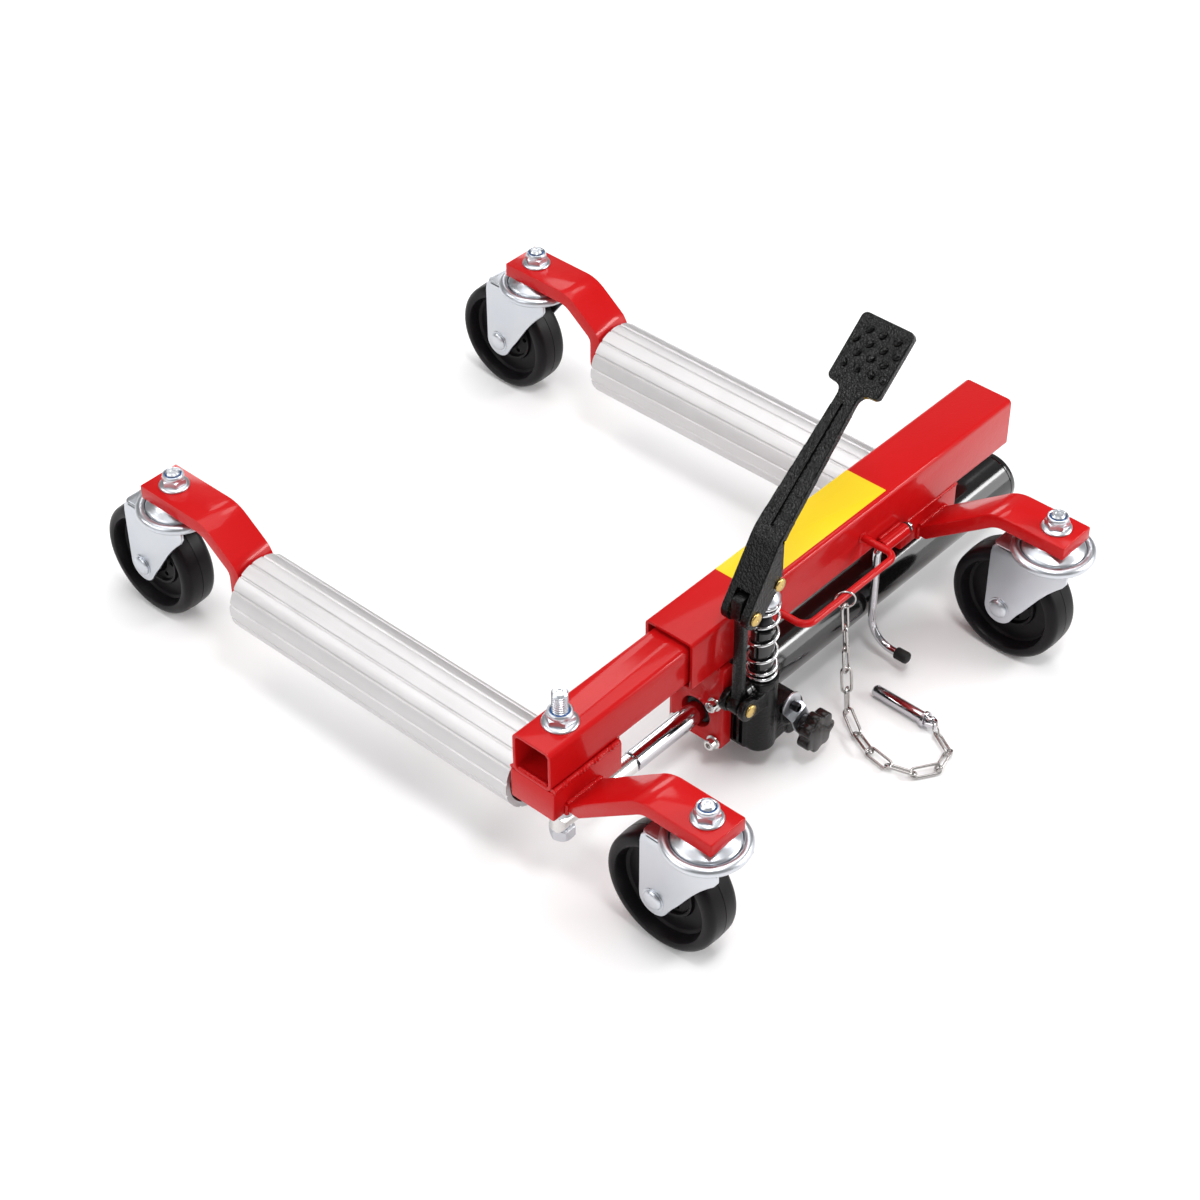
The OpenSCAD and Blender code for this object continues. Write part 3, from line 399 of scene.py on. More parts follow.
tubes = {"outerWidth": 50, "innerWidth": 40, "wall": 3, "outerEdge": 4.5, "innerEdge": 5.5,
         "outerLength": 435, "low": 112, "innerLow": 115.1, "innerStart": -161, "innerEnd": 252,
         "pinHole": 12, "pinX": 88, "pinPitch": 25, "pinZ": 137}


def boreAcross(x, z, r, steps=32):
    return plate("bore", disc(x, z, r, steps), "y", -60, 120)


def boltBore(low, depth):
    return plate("bore", disc(nearX, 0, 6.25, 32), "z", low, depth)


def makeTubes():
    t = tubes
    wide, bore = t["outerWidth"], t["outerWidth"] - 2 * t["wall"]
    centre = t["low"] + wide / 2
    outer = hollow("outerTube", roundedBox(0, centre, wide, wide, t["outerEdge"]),
                   roundedBox(0, centre, bore, bore, 2), "x", 0, t["outerLength"], 0.5)
    carve(outer, boreAcross(t["pinX"], t["pinZ"], t["pinHole"] / 2))
    dress(outer, "beam", "red_paint", "outer_tube")
    wide, bore = t["innerWidth"], t["innerWidth"] - 2 * t["wall"]
    centre = t["innerLow"] + wide / 2
    inner = hollow("innerTube", roundedBox(0, centre, wide, wide, t["innerEdge"]),
                   roundedBox(0, centre, bore, bore, 3.5), "x", t["innerStart"],
                   t["innerEnd"] - t["innerStart"], 0.5)
    holes = [boreAcross(t["pinX"] + k * t["pinPitch"], t["pinZ"], t["pinHole"] / 2) for k in range(-3, 7)]
    carve(inner, together("bores", holes))
    carve(inner, boltBore(110, 50))
    dress(inner, "sliding_frame", "red_paint", "inner_tube")


nearX, farX = -127.8, 326.8  # the two roller axes
ramZ = 50  # height of the axis of the ram and of the pump's flange
makeTubes()
print("tubes made")

blocks = {"length": 79, "width": 46, "height": 30, "bossWidth": 34, "bossRadius": 28.6, "axleZ": 88}


def crossBlock(name, x0, top, axis):
    b = blocks
    bar = plate(name, roundedBox(0, top - b["height"] / 2, b["width"], b["height"], 2.2), "x", x0,
                b["length"], 1.0)
    half = b["bossWidth"] / 2
    low = math.degrees(math.acos(half / b["bossRadius"]))
    outline = arc(axis, b["axleZ"], b["bossRadius"], 180 + low, 360 - low, 20)
    outline += [(axis + half, top - 1), (axis - half, top - 1)]
    boss = plate("boss", outline, "y", b["width"] / 2 - 3, 11, 0.8)
    return together(name, [bar, boss])


dress(carve(crossBlock("nearCrossBlock", -161, 115.1, nearX), boltBore(80, 40)), "sliding_frame",
      "red_paint", "near_cross_block")
dress(crossBlock("farCrossBlock", 283.8, 112, farX), "beam", "red_paint", "far_cross_block")

bracket = {"x": 36, "thick": 12, "width": 57, "low": 23.5, "top": 112, "bore": 30, "screwY": 20.5,
           "screwZ": 21.5}


def makeBracket():
    b = bracket
    half = b["width"] / 2
    outline = [(-half, b["top"]), (-half, b["low"] + 2), (-half + 2, b["low"]), (half - 2, b["low"]),
               (half, b["low"] + 2), (half, b["top"])]
    sheet = plate("mountingPlate", outline, "x", b["x"], b["thick"], 0)
    holes = [plate("bore", disc(0, ramZ, b["bore"] / 2), "x", 30, 30)]
    holes += [plate("bore", disc(sy * b["screwY"], ramZ + sz * b["screwZ"], 3.5, 24), "x", 30, 30)
              for sy in (-1, 1) for sz in (-1, 1)]
    carve(sheet, together("bores", holes))
    return soften(sheet, 0.7)


dress(makeBracket(), "beam", "red_paint", "mounting_plate")

arms = {"width": 40, "thick": 13, "top": 150, "over": 21, "slope": 37, "outerBend": 35, "innerBend": 22,
        "rear": 449, "front": 148, "rearBend": 401.8, "frontBend": 108.7, "legY": 349.1, "legLow": 68}


# points along the top and the underside of a bar that falls from level to a slope
def bentBar(drop):
    a = arms
    slope = radians(a["slope"])
    outer = arc(0, -a["outerBend"], a["outerBend"], 90, 90 - a["slope"], 14)
    inner = arc(0, -a["outerBend"], a["innerBend"], 90, 90 - a["slope"], 14)
    run = (drop - a["outerBend"] * (1 - cos(slope))) / sin(slope)
    step = (run * cos(slope), -run * sin(slope))
    return outer, inner, step


def frontArm(name, x, blockLow):
    a = arms
    outer, inner, step = bentBar(80)
    end, bend = -a["front"] - a["over"], -a["frontBend"]
    top = [(end, a["top"])] + [(bend + u, a["top"] + v) for u, v in outer]
    top.append((top[-1][0] + step[0], top[-1][1] + step[1]))
    under = [(end, a["top"] - a["thick"])] + [(bend + u, a["top"] + v) for u, v in inner]
    under.append((under[-1][0] + step[0], under[-1][1] + step[1]))
    bar = plate(name, top + under[::-1], "x", x - a["width"] / 2, a["width"], 0)
    keep = plate("keep", box(-200, blockLow + 3, -23, 170), "x", x - 60, 120)
    carve(bar, keep, how="INTERSECT")
    return soften(bar, 1.3, 3)


def rearArm(name, x):
    a = arms
    outer, inner = bentBar(80)[:2]
    end, bend = a["rear"] + a["over"], a["rearBend"]
    tan = math.tan(radians(a["slope"]))
    top = [(end, a["top"])] + [(bend - u, a["top"] + v) for u, v in outer]
    lastY, lastZ = top[-1]
    front = a["legY"]
    corner = lastZ - (lastY - front) * tan
    top += [(front + 11, corner + 11 * tan), (front + 6, corner + 4.1), (front + 2.6, corner - 1.4),
            (front + 0.8, corner - 6.5), (front, corner - 12), (front, a["legLow"])]
    back = front + a["thick"]
    cornerIn = corner + a["thick"] * tan - a["thick"] / cos(radians(a["slope"]))
    under = [(end, a["top"] - a["thick"])] + [(bend - u, a["top"] + v) for u, v in inner]
    under += [(back + 3, cornerIn + 3 * tan), (back + 0.8, cornerIn - 0.6), (back, cornerIn - 4),
              (back, a["legLow"])]
    bar = plate(name, top + under[::-1], "x", x - a["width"] / 2, a["width"], 0)
    half = a["width"] / 2
    shape = [(x - half, 160)] + arc(x, blocks["axleZ"], half, 180, 360, 24) + [(x + half, 160)]
    carve(bar, plate("keep", shape, "y", 340, 200), how="INTERSECT")
    return soften(bar, 1.3, 3)


for side, x, body, low in (("near", nearX, "sliding_frame", 85), ("far", farX, "beam", 82)):
    dress(frontArm(side + "FrontArm", x, low), body, "red_paint", side + "_front_arm")
    dress(rearArm(side + "RearArm", x), body, "red_paint", side + "_rear_arm")
print("frame made")


def makeWelds():
    beam, sliding = [], []
    sliding += [seam((-160, y * 1.03, 116.2), (-84, y * 1.03, 116.2), 2.5) for y in (-20.6, 20.6)]
    sliding.append(seam((-81.6, -18, 115.0), (-81.6, 18, 115.0), 2.0))
    sliding.append(seam((-158.6, -15, 118.2), (-158.6, 15, 118.2), 1.7, 1.6))
    beam += [seam((286, y, 112.1), (360, y, 112.1), 2.0) for y in (-23.4, 23.4)]
    beam += [seam((x, -23, 112), (x, 23, 112), 2.2) for x in (36, 48)]
    top = 95.6
    for x, low, group in ((nearX, 85, sliding), (farX, 82, beam)):
        group.append(seam((x - 19.5, -24, top), (x + 19.5, -24, top), 2.4))
        group += [seam((x + half, -24, low + 1), (x + half, -24, top), 1.9) for half in (-20, 20)]
        group.append(weld([(u, 362.3, v) for u, v in disc(x, blocks["axleZ"], 10.5, 44)], 1.5, True))
    beam += [weld([(u, -25.2, v) for u, v in disc(x, 137, 3.6, 22)], 1.3, True) for x in (100, 221)]
    beam.append(seam((244, -26.4, 121.4), (273, -26.4, 121.4), 1.8))
    dress(together("beamWelds", beam), "beam", "red_paint", crease=60)
    dress(together("slidingWelds", sliding), "sliding_frame", "red_paint", crease=60)


makeWelds()

# a thin plain film on top of the beam
film = {"x0": 84, "x1": 259, "y0": -19.4, "y1": 22.8, "thick": 0.2, "corner": 0.8}


def makeFilm():
    f = film
    outline = roundedBox((f["x0"] + f["x1"]) / 2, (f["y0"] + f["y1"]) / 2, f["x1"] - f["x0"],
                         f["y1"] - f["y0"], f["corner"])
    sheet = plate("plainFilm", outline, "z", 162.0, f["thick"], 0.08)
    settle(sheet, "beam", "red_paint", finishes["yellow_film"])


makeFilm()

rollers = {"radius": 35.4, "inner": 30.4, "start": 26.6, "length": 321.3, "lands": 16,
           "z": blocks["axleZ"], "bushes": (36.6, 317.9)}


def rollerOutline(x):
    r = rollers
    outer, inner = [], []
    perLand = 14
    for land in range(r["lands"]):
        for k in range(perLand):
            part = (k + 0.5) / perLand
            angle = (land + part - 0.5) * tau / r["lands"]
            fromEdge = min(part, 1 - part) * tau / r["lands"] * r["radius"]
            sink = 1.1 if fromEdge < 0.6 else (0.35 if fromEdge < 1.4 else 0.0)
            dip = 0.12 * (abs(part - 0.5) * 2) ** 2
            reach = r["radius"] - sink - dip
            outer.append((x + reach * cos(angle), r["z"] + reach * sin(angle)))
            inner.append((x + r["inner"] * cos(angle), r["z"] + r["inner"] * sin(angle)))
    return outer, inner


for side, x in (("near", nearX), ("far", farX)):
    outer, inner = rollerOutline(x)
    tube = hollow(side + "Roller", outer, inner, "y", rollers["start"], rollers["length"], 0)
    dress(tube, side + "_roller_body", "roller_aluminium", side + "_roller", crease=28)
    for n, y in enumerate(rollers["bushes"]):
        profile = [(10.05, 0), (18, 0), (18, 7), (26, 7), (26, 0), (30.35, 0), (30.35, 20), (10.05, 20)]
        bush = turned(f"{side}Bush{n}", profile, "y", (x, y, rollers["z"]), 64, 0.5)
        dress(bush, side + "_roller_body", "black_nylon", *([side + "_roller_bushes"] if n == 0 else []))
print("rollers made")

caster = {"wheel": 55, "width": 34, "trail": 33, "axleZ": 55, "armLow": 137, "crown": 119, "side": 19,
          "sheet": 3, "rim": 36.5, "roll": 4.6, "holes": 6, "holeRing": 18, "holeRadius": 2.5,
          "foot": 14.6, "stemTop": 165}
places = {"near_rear": (nearX, 449, "sliding_frame"), "near_front": (nearX, -148, "sliding_frame"),
          "far_rear": (farX, 449, "beam"), "far_front": (farX, -148, "beam")}


def makeFork():
    c = caster
    crown = c["crown"]
    profile = [(6.1, 0), (26.5, 0), (29.3, 1.4), (31.2, 2.6)]
    profile += arc(c["rim"] - c["roll"], 6.8, c["roll"], -75, 135, 14) + [(28.4, 8), (28.2, 6), (6.1, 6)]
    parts = [turned("dish", profile, "z", (0, 0, crown), 80)]
    y0, z0 = c["trail"], c["axleZ"]
    front = [(-28.6, 4), (-28.8, -3), (-25.5, -8.6), (-20, -14.2), (-12.5, -22.8), (-5, -33),
             (2.5, -44.6), (9.5, -55.5), (14, -61.5)]
    front = [(u, crown + v) for u, v in front]
    foot = arc(y0, z0 - 1, c["foot"], 205, 360, 18)
    back = [(y0 + c["foot"], crown - 8), (y0 + c["foot"] - 1.2, crown - 1),
            (y0 + c["foot"] - 5, crown + 3)]
    for side in (-1, 1):
        x = c["side"] if side > 0 else -c["side"] - c["sheet"]
        parts.append(plate("leg", front + foot + back, "x", x, c["sheet"], 0.8))
    end = y0 + c["foot"] - 7
    table = [(-22, -6)] + arc(-16, end, 6, 180, 90, 6) + arc(16, end, 6, 90, 0, 6) + [(22, -6)]
    parts.append(plate("table", table, "z", crown, 3, 0.8))
    return together("fork", parts)


def makeWheel():
    c = caster
    half, big = c["width"] / 2, c["wheel"]
    side = [(5.06, 18.7), (12, 18.7), (13, 17.7), (13.6, 5.5), (16, 4), (22.6, 4), (24, 6.8), (26, 7),
            (27.2, 4.4), (39.6, 4.2), (42, 6), (43.4, half - 2.6), (44.6, half - 0.5), (46.4, half)]
    side += arc(big - 7.5, half - 7, 7, 75, 0, 5)
    side += [(big - 0.2, half - 12), (big, 0.35), (big - 0.5, 0.12)]
    ring = [(r, -h) for r, h in side] + side[::-1]
    body = turned("wheel", ring, "x", (0, c["trail"], c["axleZ"]), 96, 0)
    holes = [plate("hole", disc(u, v, c["holeRadius"], 20), "x", -10, 20) for u,
             v in disc(c["trail"], c["axleZ"], c["holeRing"], c["holes"])]
    return carve(body, together("holes", holes))


def chamferedHex(name, axis, centre, flats, start, depth, far=True, near=False):
    u, v = {"x": (centre[1], centre[2]), "y": (centre[0], centre[2]), "z": (centre[0], centre[1])}[axis]
    body = plate(name, hexagon(u, v, flats), axis, start, depth, 0)
    corner = flats / math.sqrt(3) + 0.02
    cut = 0.28 * flats / 4
    low, high = start, start + depth
    profile = [(0, low), (flats / 2 + 0.1 if near else corner, low)]
    profile += [(corner, low + cut)] if near else []
    profile += [(corner, high - cut), (flats / 2 + 0.1, high)] if far else [(corner, high)]
    profile.append((0, high))
    axisCentre = {"x": (0, centre[1], centre[2]), "y": (centre[0], 0, centre[2]),
                  "z": (centre[0], centre[1], 0)}[axis]
    carve(body, turned("cone", profile, axis, axisCentre, 64), how="INTERSECT")
    return soften(body, 0.25, 2, 25)


def makeAxle():
    c = caster
    side = c["side"] + c["sheet"]
    spot = (0, c["trail"], c["axleZ"])
    shank = turned("axle", [(0, -side - 2), (5, -side - 2), (5, side + 8.6), (4.2, side + 9.8),
                            (0, side + 9.8)], "x", spot, 32)
    profile = [(0, -3.6), (5.5, -3.3), (8, -2.4), (8.8, -1.4), (8.8, -0.5), (10.6, -0.5), (10.6, -0.02),
               (0, -0.02)]
    head = turned("head", profile, "x", (-side, c["trail"], c["axleZ"]), 48)
    nut = chamferedHex("nut", "x", spot, 16, side + 0.05, 6.9)
    return together("axle", [shank, head, nut])


def threaded(r, low, high, pitch):
    points = [(0, low), (r - 0.1, low)]
    z = low + 0.4
    while z < high - 1.6:
        points += [(r, z + pitch * 0.1), (r, z + pitch * 0.35), (r - 0.9, z + pitch * 0.6),
                   (r - 0.9, z + pitch * 0.8)]
        z += pitch
    return points + [(r, high - 1.3), (r - 1.3, high), (2.6, high), (2.2, high - 0.5), (0, high - 0.6)]


def makeStem():
    c = caster
    crown = c["crown"]
    centre = (0, 0, crown)
    lower = turned("race", [(0, -5.4), (8.4, -5.4), (9.9, -4), (9.9, -0.5), (0, -0.5)], "z", centre, 48)
    post = turned("post", box(0, -1, 5.95, 8), "z", centre, 48)
    profile = [(0, 6.4), (27, 6.4), (27.8, 7.4), (27.8, 9.6), (27.2, 11), (25.6, 12.2), (22, 14),
               (19, 16.2), (17.6, 17.4)]
    high = c["armLow"] - crown
    upper = turned("disc", profile + [(17.4, high), (0, high)], "z", centre, 72)
    stem = turned("stem", threaded(6, c["armLow"] - 1, c["stemTop"], 1.75), "z", steps=48)
    return together("stem", [lower, post, upper, stem])


seat = (0, 0, arms["top"])


def makeNut():
    profile = [(6.1, 0), (13.4, 0), (13.4, 1.2), (12.6, 2.2), (9.6, 3.2), (6.1, 3.2)]
    flange = turned("flange", profile, "z", seat, 64, 0.2)
    body = chamferedHex("hex", "z", (0, 0, 0), 19, arms["top"] + 1.5, 7.4)
    profile = [(7.0, 8), (9.4, 8), (9.5, 10), (9.3, 12), (8.7, 12.8), (7.7, 13), (7.1, 12.5), (7.0, 11)]
    collar = turned("collar", profile, "z", seat, 48)
    return together("nut", [flange, body, collar])


def makeRing():
    profile = [(6.02, 10.6), (6.98, 10.6), (6.98, 12), (6.6, 12.4), (6.02, 12.2)]
    return turned("ring", profile, "z", seat, 48)


def at(piece, x, y, z=0):
    return turnPiece(piece, Matrix.Translation((x, y, z)))


models = {"Fork": makeFork(), "Wheel": makeWheel(), "Axle": makeAxle(), "Stem": makeStem(),
          "Nut": makeNut(), "NutRing": makeRing()}
for corner, (x, y, parent) in places.items():
    side, end = corner.split("_")
    made = {part: at(twin(model, side + end + part), x, y) for part, model in models.items()}
    dress(made["Fork"], corner + "_swivel", "blue_zinc", corner + "_fork")
    dress(made["Wheel"], corner + "_roll", "wheel_nylon", corner + "_wheel")
    dress(made["Axle"], corner + "_swivel", "blue_zinc", corner + "_axle")
    # one CAD node holds both stems or both nuts of a side, so the first copy replaces it
    first = end == "rear"
    dress(made["Stem"], parent, "blue_zinc", *([side + "_caster_stems"] if first else []))
    dress(made["Nut"], parent, "blue_zinc", *([side + "_flange_nuts"] if first else []))
    settle(made["NutRing"], parent, "blue_zinc", finishes["blue_ring"])
# the nut on the frame bolt is the same one, a size up
wider = Matrix.Diagonal((1.13, 1.13, 1, 1))
frameNut, frameNutRing = [at(turnPiece(twin(models[part], "frame" + part), wider), nearX, 0, 5.1)
                          for part in ("Nut", "NutRing")]
dress(frameNut, "sliding_frame", "blue_zinc")
settle(frameNutRing, "sliding_frame", "blue_zinc", finishes["blue_ring"])
for spare in models.values():
    bpy.data.objects.remove(spare)
print("casters made")

ram = {"radius": 26, "bore": 22, "start": 84, "rodStart": -44, "endLow": -141.8}


def makeFrameBolt():
    head = chamferedHex("head", "z", (nearX, 0, 0), 19, 32, 10, far=False, near=True)
    shank = turned("shank", box(0, 41, 5.95, 156), "z", (nearX, 0, 0), 48)
    tip = turned("tip", threaded(6.75, 155.4, 187, 2.3), "z", (nearX, 0, 0), 48)
    return together("frameBolt", [head, shank, tip])


def makeRam():
    r = ram
    centre = (0, 0, ramZ)
    barrel = turned("ramCylinder", [(r["bore"], r["start"]), (r["radius"], r["start"]),
                                    (r["radius"], 450.6), (r["radius"] - 0.7, 451.1), (r["bore"], 451.1)],
                    "x", centre, 128)
    dress(barrel, "beam", "black_enamel", "ram_cylinder")
    cap = turned("cylinderCap", [(0, 438), (21.95, 438), (21.95, 451.2), (25.3, 451.3), (26, 452.0),
                                 (26, 456.2), (25.5, 457.2), (24.4, 458), (0, 458)], "x", centre, 128)
    dress(cap, "beam", "black_enamel", "cylinder_end_cap")
    rod = turned("pistonRod", [(0, r["rodStart"]), (8.9, r["rodStart"]), (9.5, r["rodStart"] + 0.6),
                               (9.5, 312), (0, 312)], "x", centre, 96)
    dress(rod, "sliding_frame", "chrome", "piston_rod")
    end = turned("rodEnd", [(0, r["endLow"]), (8.4, r["endLow"]), (9.2, r["endLow"] + 0.8), (9.2, -46.5),
                            (8.7, -46), (5, -46), (5, -35), (0, -35)], "x", centre, 96)
    for sz in (-1, 1):
        near, far = ramZ + sz * 8, ramZ + sz * 30
        carve(end, plate("cheek", box(-20, near, 20, far), "x", -150, 37.2))
    tip = plate("tip", arc(nearX, 0, 10.2, 90, 270, 24) + [(-30, -12), (-30, 12)], "z", 30, 40)
    carve(end, tip, how="INTERSECT")
    carve(end, boltBore(30, 40))
    dress(end, "sliding_frame", "bright_plating", "rod_end")
    gland = turned("rodGland", [(9.56, 40.6), (10.6, 40), (12.2, 40.2), (12.7, 42), (14.2, 42.4),
                                (14.3, 43), (14.3, 60), (9.56, 60)], "x", centre, 96)
    settle(gland, "beam", "black_oxide", finishes["black_nylon"], "rod_gland")


dress(makeFrameBolt(), "sliding_frame", "blue_zinc", "frame_bolt")
spacer = turned("boltSpacer", [(6.2, 58), (10.0, 58), (10.5, 58.5), (10.5, 84.6), (10.0, 85.1),
                               (6.2, 85.1)], "z", (nearX, 0, 0), 64)
dress(spacer, "sliding_frame", "blue_zinc", "bolt_spacer")
makeRam()
print("ram made")

pump = {"x": 65.5, "y": -44, "linkX": 36.5, "linkLow": 86, "linkTop": 185.5, "pinZ": 203}
tower = (pump["x"], pump["y"], 0)


def makePumpBody():
    p = pump
    socket = [(0, 55), (30.5, 55), (30.5, 91), (32, 92.5), (32, 97.2), (31, 98), (0, 98)]
    column = [(0, 21), (9, 21), (12, 22.2), (14.3, 25), (14.3, 92), (15.3, 93.2), (15.3, 99.2),
              (14.8, 100), (0, 100)]
    parts = [
        plate("flange", roundedBox(0, ramZ, bracket["width"], 53, 9, 8), "x", 48, 12, 1.2),
        turned("boss", socket, "x", (0, 0, ramZ), 96),
        turned("tower", column, "z", tower, 72),
        plate("web", box(48, 26, 77, 84), "y", -44, 18, 2.0),
        plate("shelf", box(55.5, 83, 75.5, 91), "y", -44, 15, 1.5),
    ]
    lug = arc(p["linkX"], p["linkLow"], 10.5, 90, 270, 24)
    lug += [(62, 75.5), (62, 91.5), (46, 91.5), (42, 95)]
    parts += [plate("lug", lug, "y", y, 6.7, 0.9) for y in (-57.2, -37.5)]
    parts += [
        plate("valve", disc(93, 48, 14), "y", -58, 34, 1.0),
        plate("valveFoot", disc(97, 30, 11), "y", -57.2, 32, 1.6),
        plate("valveWeb", [(65.5, 25), (93, 27), (93, 61), (65.5, 64)], "y", -56.5, 33, 1.5),
        plate("ridge", [(76, 60), (80, 62), (80, 88), (76, 90)], "y", -50, 12, 1.2),
    ]
    body = together("pumpBody", parts)
    cast(body, 0.95, 5)
    plungerBore = [(0, 30), (7.1, 30), (7.1, 98.6), (12.4, 99), (12.4, 104), (0, 104)]
    rodBore = [(0, 40), (14.35, 40), (14.35, 59.9), (10.6, 59.9), (10.6, 90), (0, 90)]
    cutters = [
        turned("bore", plungerBore, "z", tower, 48),
        turned("bore", rodBore, "x", (0, 0, ramZ), 48),
        plate("slot", box(20, 70, 50.8, 100), "y", -50.5, 13),
        plate("pocket", box(-40.6, 30, -37.0, 72), "x", 46, 5.5),
        plate("pocket", box(-34.6, 30, -31.0, 72), "x", 46, 5.5),
    ]
    carve(body, *cutters)
    return body


dress(makePumpBody(), "beam", "black_cast_iron", "pump_body", crease=50)


def socketScrew(name, place, headR, headH, shankR, shankL):
    body = turned(name, [(0, -headH), (headR - 0.6, -headH), (headR, -headH + 0.6), (headR, 0),
                         (shankR, 0), (shankR, shankL), (0, shankL)], "x", (0, 0, 0), 40)
    carve(body, plate("key", hexagon(0, 0, headR), "x", -headH - 1, headH * 0.55 + 1))
    return turnPiece(body, place)


washerThick = 1.5
washerProfile = [(3.2, 0), (6.5, 0), (6.75, 0.4), (6.75, 1.1), (6.5, washerThick), (3.2, washerThick)]
screws, washers = [], []
for sy in (-1, 1):
    for sz in (-1, 1):
        spot = Matrix.Translation((bracket["x"] - washerThick, sy * bracket["screwY"],
                                   ramZ + sz * bracket["screwZ"]))
        screws.append(socketScrew("screw", spot, 5.0, 6, 3, 22))
        washer = turned("washer", washerProfile, "x", steps=40)
        washers.append(turnPiece(washer, spot))
dress(together("pumpScrews", screws), "beam", "bright_plating", "pump_screws")
dress(together("pumpWashers", washers), "beam", "bright_plating", "pump_washers")


plug = {"z": 94, "key": 5, "keyDepth": 3.5}


def makePlug():
    body = turned("fillerPlug", [(0, 42.2), (5.2, 42.2), (5.9, 43), (5.9, 46.6), (5.2, 47), (5.2, 48.2),
                                 (5.9, 48.6), (5.9, 53.4), (3, 54), (3, 58), (0, 58)], "x",
                  (0, pump["y"], plug["z"]), 40)
    return carve(body, plate("key", hexagon(pump["y"], plug["z"], plug["key"]), "x", 41,
                             plug["keyDepth"]))


settle(makePlug(), "beam", "blue_zinc", finishes["black_enamel"], "filler_plug")


keeper = {"x": 89, "z": 58, "y": -60, "lean": (0.371, 0.928), "half": 9.6}


# a joggled strip: flat under the screw, stepped forward, flat round the spindle
def makeKeeper():
    k = keeper
    across, down = k["lean"]
    half = k["half"]

    def along(t, side):
        return k["x"] + across * t + down * side, k["z"] - down * t + across * side

    foot = arc(0, 0, 11.5, 90, 270, 20) + [(8, -half), (8, half)]
    tongue = [(12.2, half), (12.2, -half)] + arc(26.93, 0, half, -90, 90, 20)
    parts = [plate("foot", [along(*spot) for spot in foot], "y", k["y"], 1.96, 0.3),
             plate("tongue", [along(*spot) for spot in tongue], "y", -64.4, 1.9, 0.3)]
    profile = [(7.7, -60), (7.9, -58.1), (12.6, -62.5), (12.4, -64.4)]
    ramp = startMesh("ramp", [(along(t, -half)[0], y, along(t, -half)[1]) for t, y in profile],
                     faces=[[0, 1, 2, 3]])
    editAll(bpy.ops.mesh.extrude_region_move,
            TRANSFORM_OT_translate={"value": (down * 2 * half, 0, across * 2 * half)})
    return together("valveKeeper", parts + [soften(ramp, 0.3)])


dress(makeKeeper(), "beam", "blue_zinc", "valve_keeper")
keeperSpot = Matrix.Translation((keeper["x"], keeper["y"], keeper["z"]))
keeperSpot = keeperSpot @ Matrix.Rotation(math.pi / 2, 4, "Z")
keeperScrew = socketScrew("keeperScrew", keeperSpot, 4.1, 7.2, 2.4, 14)
dress(keeperScrew, "beam", "black_oxide", "keeper_screw")


knob = {"x": 99, "z": 33, "reach": 18.9, "lobes": 7, "dip": 3.0, "steps": 168}


def makeKnob():
    centre = (knob["x"], 0, knob["z"])
    outline = []
    for k in range(knob["steps"]):
        t = k * tau / knob["steps"]
        reach = knob["reach"] - knob["dip"] * (0.5 - 0.5 * cos(knob["lobes"] * t + 0.6)) ** 1.4
        outline.append((knob["x"] + reach * cos(t), knob["z"] + reach * sin(t)))
    grip = plate("releaseKnob", outline, "y", -84, 12, 1.5, 3)
    neck = turned("neck", [(0, -65), (9.4, -65), (9.8, -66), (10.8, -73), (0, -73)], "y", centre, 48)
    spindle = turned("spindle", box(0, -64.9, 3.95, -38), "y", centre, 48)
    return together("releaseKnob", [grip, neck, spindle])


dress(makeKnob(), "knob", "knob_plastic", "release_knob")


def hingePin(name, x, z, width):
    half = width / 2
    profile = [(0, -half - 1.9), (4.6, -half - 1.9), (5.6, -half - 1.4), (6, -half - 0.7), (6, -half),
               (5, -half), (5, half), (6, half), (6, half + 0.9), (5.4, half + 1.3), (0, half + 1.3)]
    body = turned(name, profile, "y", (x, pump["y"], z), 48)
    dimple = turned("dimple", [(0, -half - 2.5), (1.8, -half - 2.5), (0.3, -half - 1.2),
                               (0, -half - 1.1)], "y", (x, pump["y"], z), 24)
    return carve(body, dimple)


dress(hingePin("lowerLinkPin", pump["linkX"], pump["linkLow"], 26.4), "beam", "yellow_zinc",
      "lower_link_pin")
dress(hingePin("fulcrumPin", pump["linkX"], pump["linkTop"], 28.6), "link", "yellow_zinc", "fulcrum_pin")
dress(hingePin("plungerPin", pump["x"], pump["pinZ"], 28.6), "plunger", "yellow_zinc", "plunger_pin")


def makeLink():
    x, low, top = pump["linkX"], pump["linkLow"], pump["linkTop"]
    crown = [(8.9, 0), (7.4, 15.4), (5.6, 17), (-5.6, 17), (-7.4, 15.4), (-8.9, 0)]
    waist = [(3.3, top - 13), (3, top - 20), (3, low + 20), (3.3, low + 13)]
    outline = arc(x, top, 9, -60, -6, 8)
    outline += [(x + u, top + v) for u, v in crown]
    outline += arc(x, top, 9, 186, 240, 8)
    outline += [(x - u, v) for u, v in waist]
    outline += arc(x, low, 9, 120, 420, 30)
    outline += [(x + u, v) for u, v in waist[::-1]]
    body = plate("fulcrumLink", outline, "y", -49, 10, 0.9)
    holes = [plate("bore", disc(x, z, 5.05, 32), "y", -60, 30) for z in (low, top)]
    return carve(body, together("bores", holes))


dress(makeLink(), "link", "black_cast_iron", "fulcrum_link")


def makePlunger():
    p = pump
    rod = turned("plunger", box(0, 66, 7, 181), "z", tower, 64)
    outline = [(p["x"] - 8, 186)] + arc(p["x"], p["pinZ"], 8, 180, 0, 20) + [(p["x"] + 8, 186)]
    tongue = plate("tongue", outline, "y", -49, 10, 0.8)
    return together("plunger", [rod, tongue])


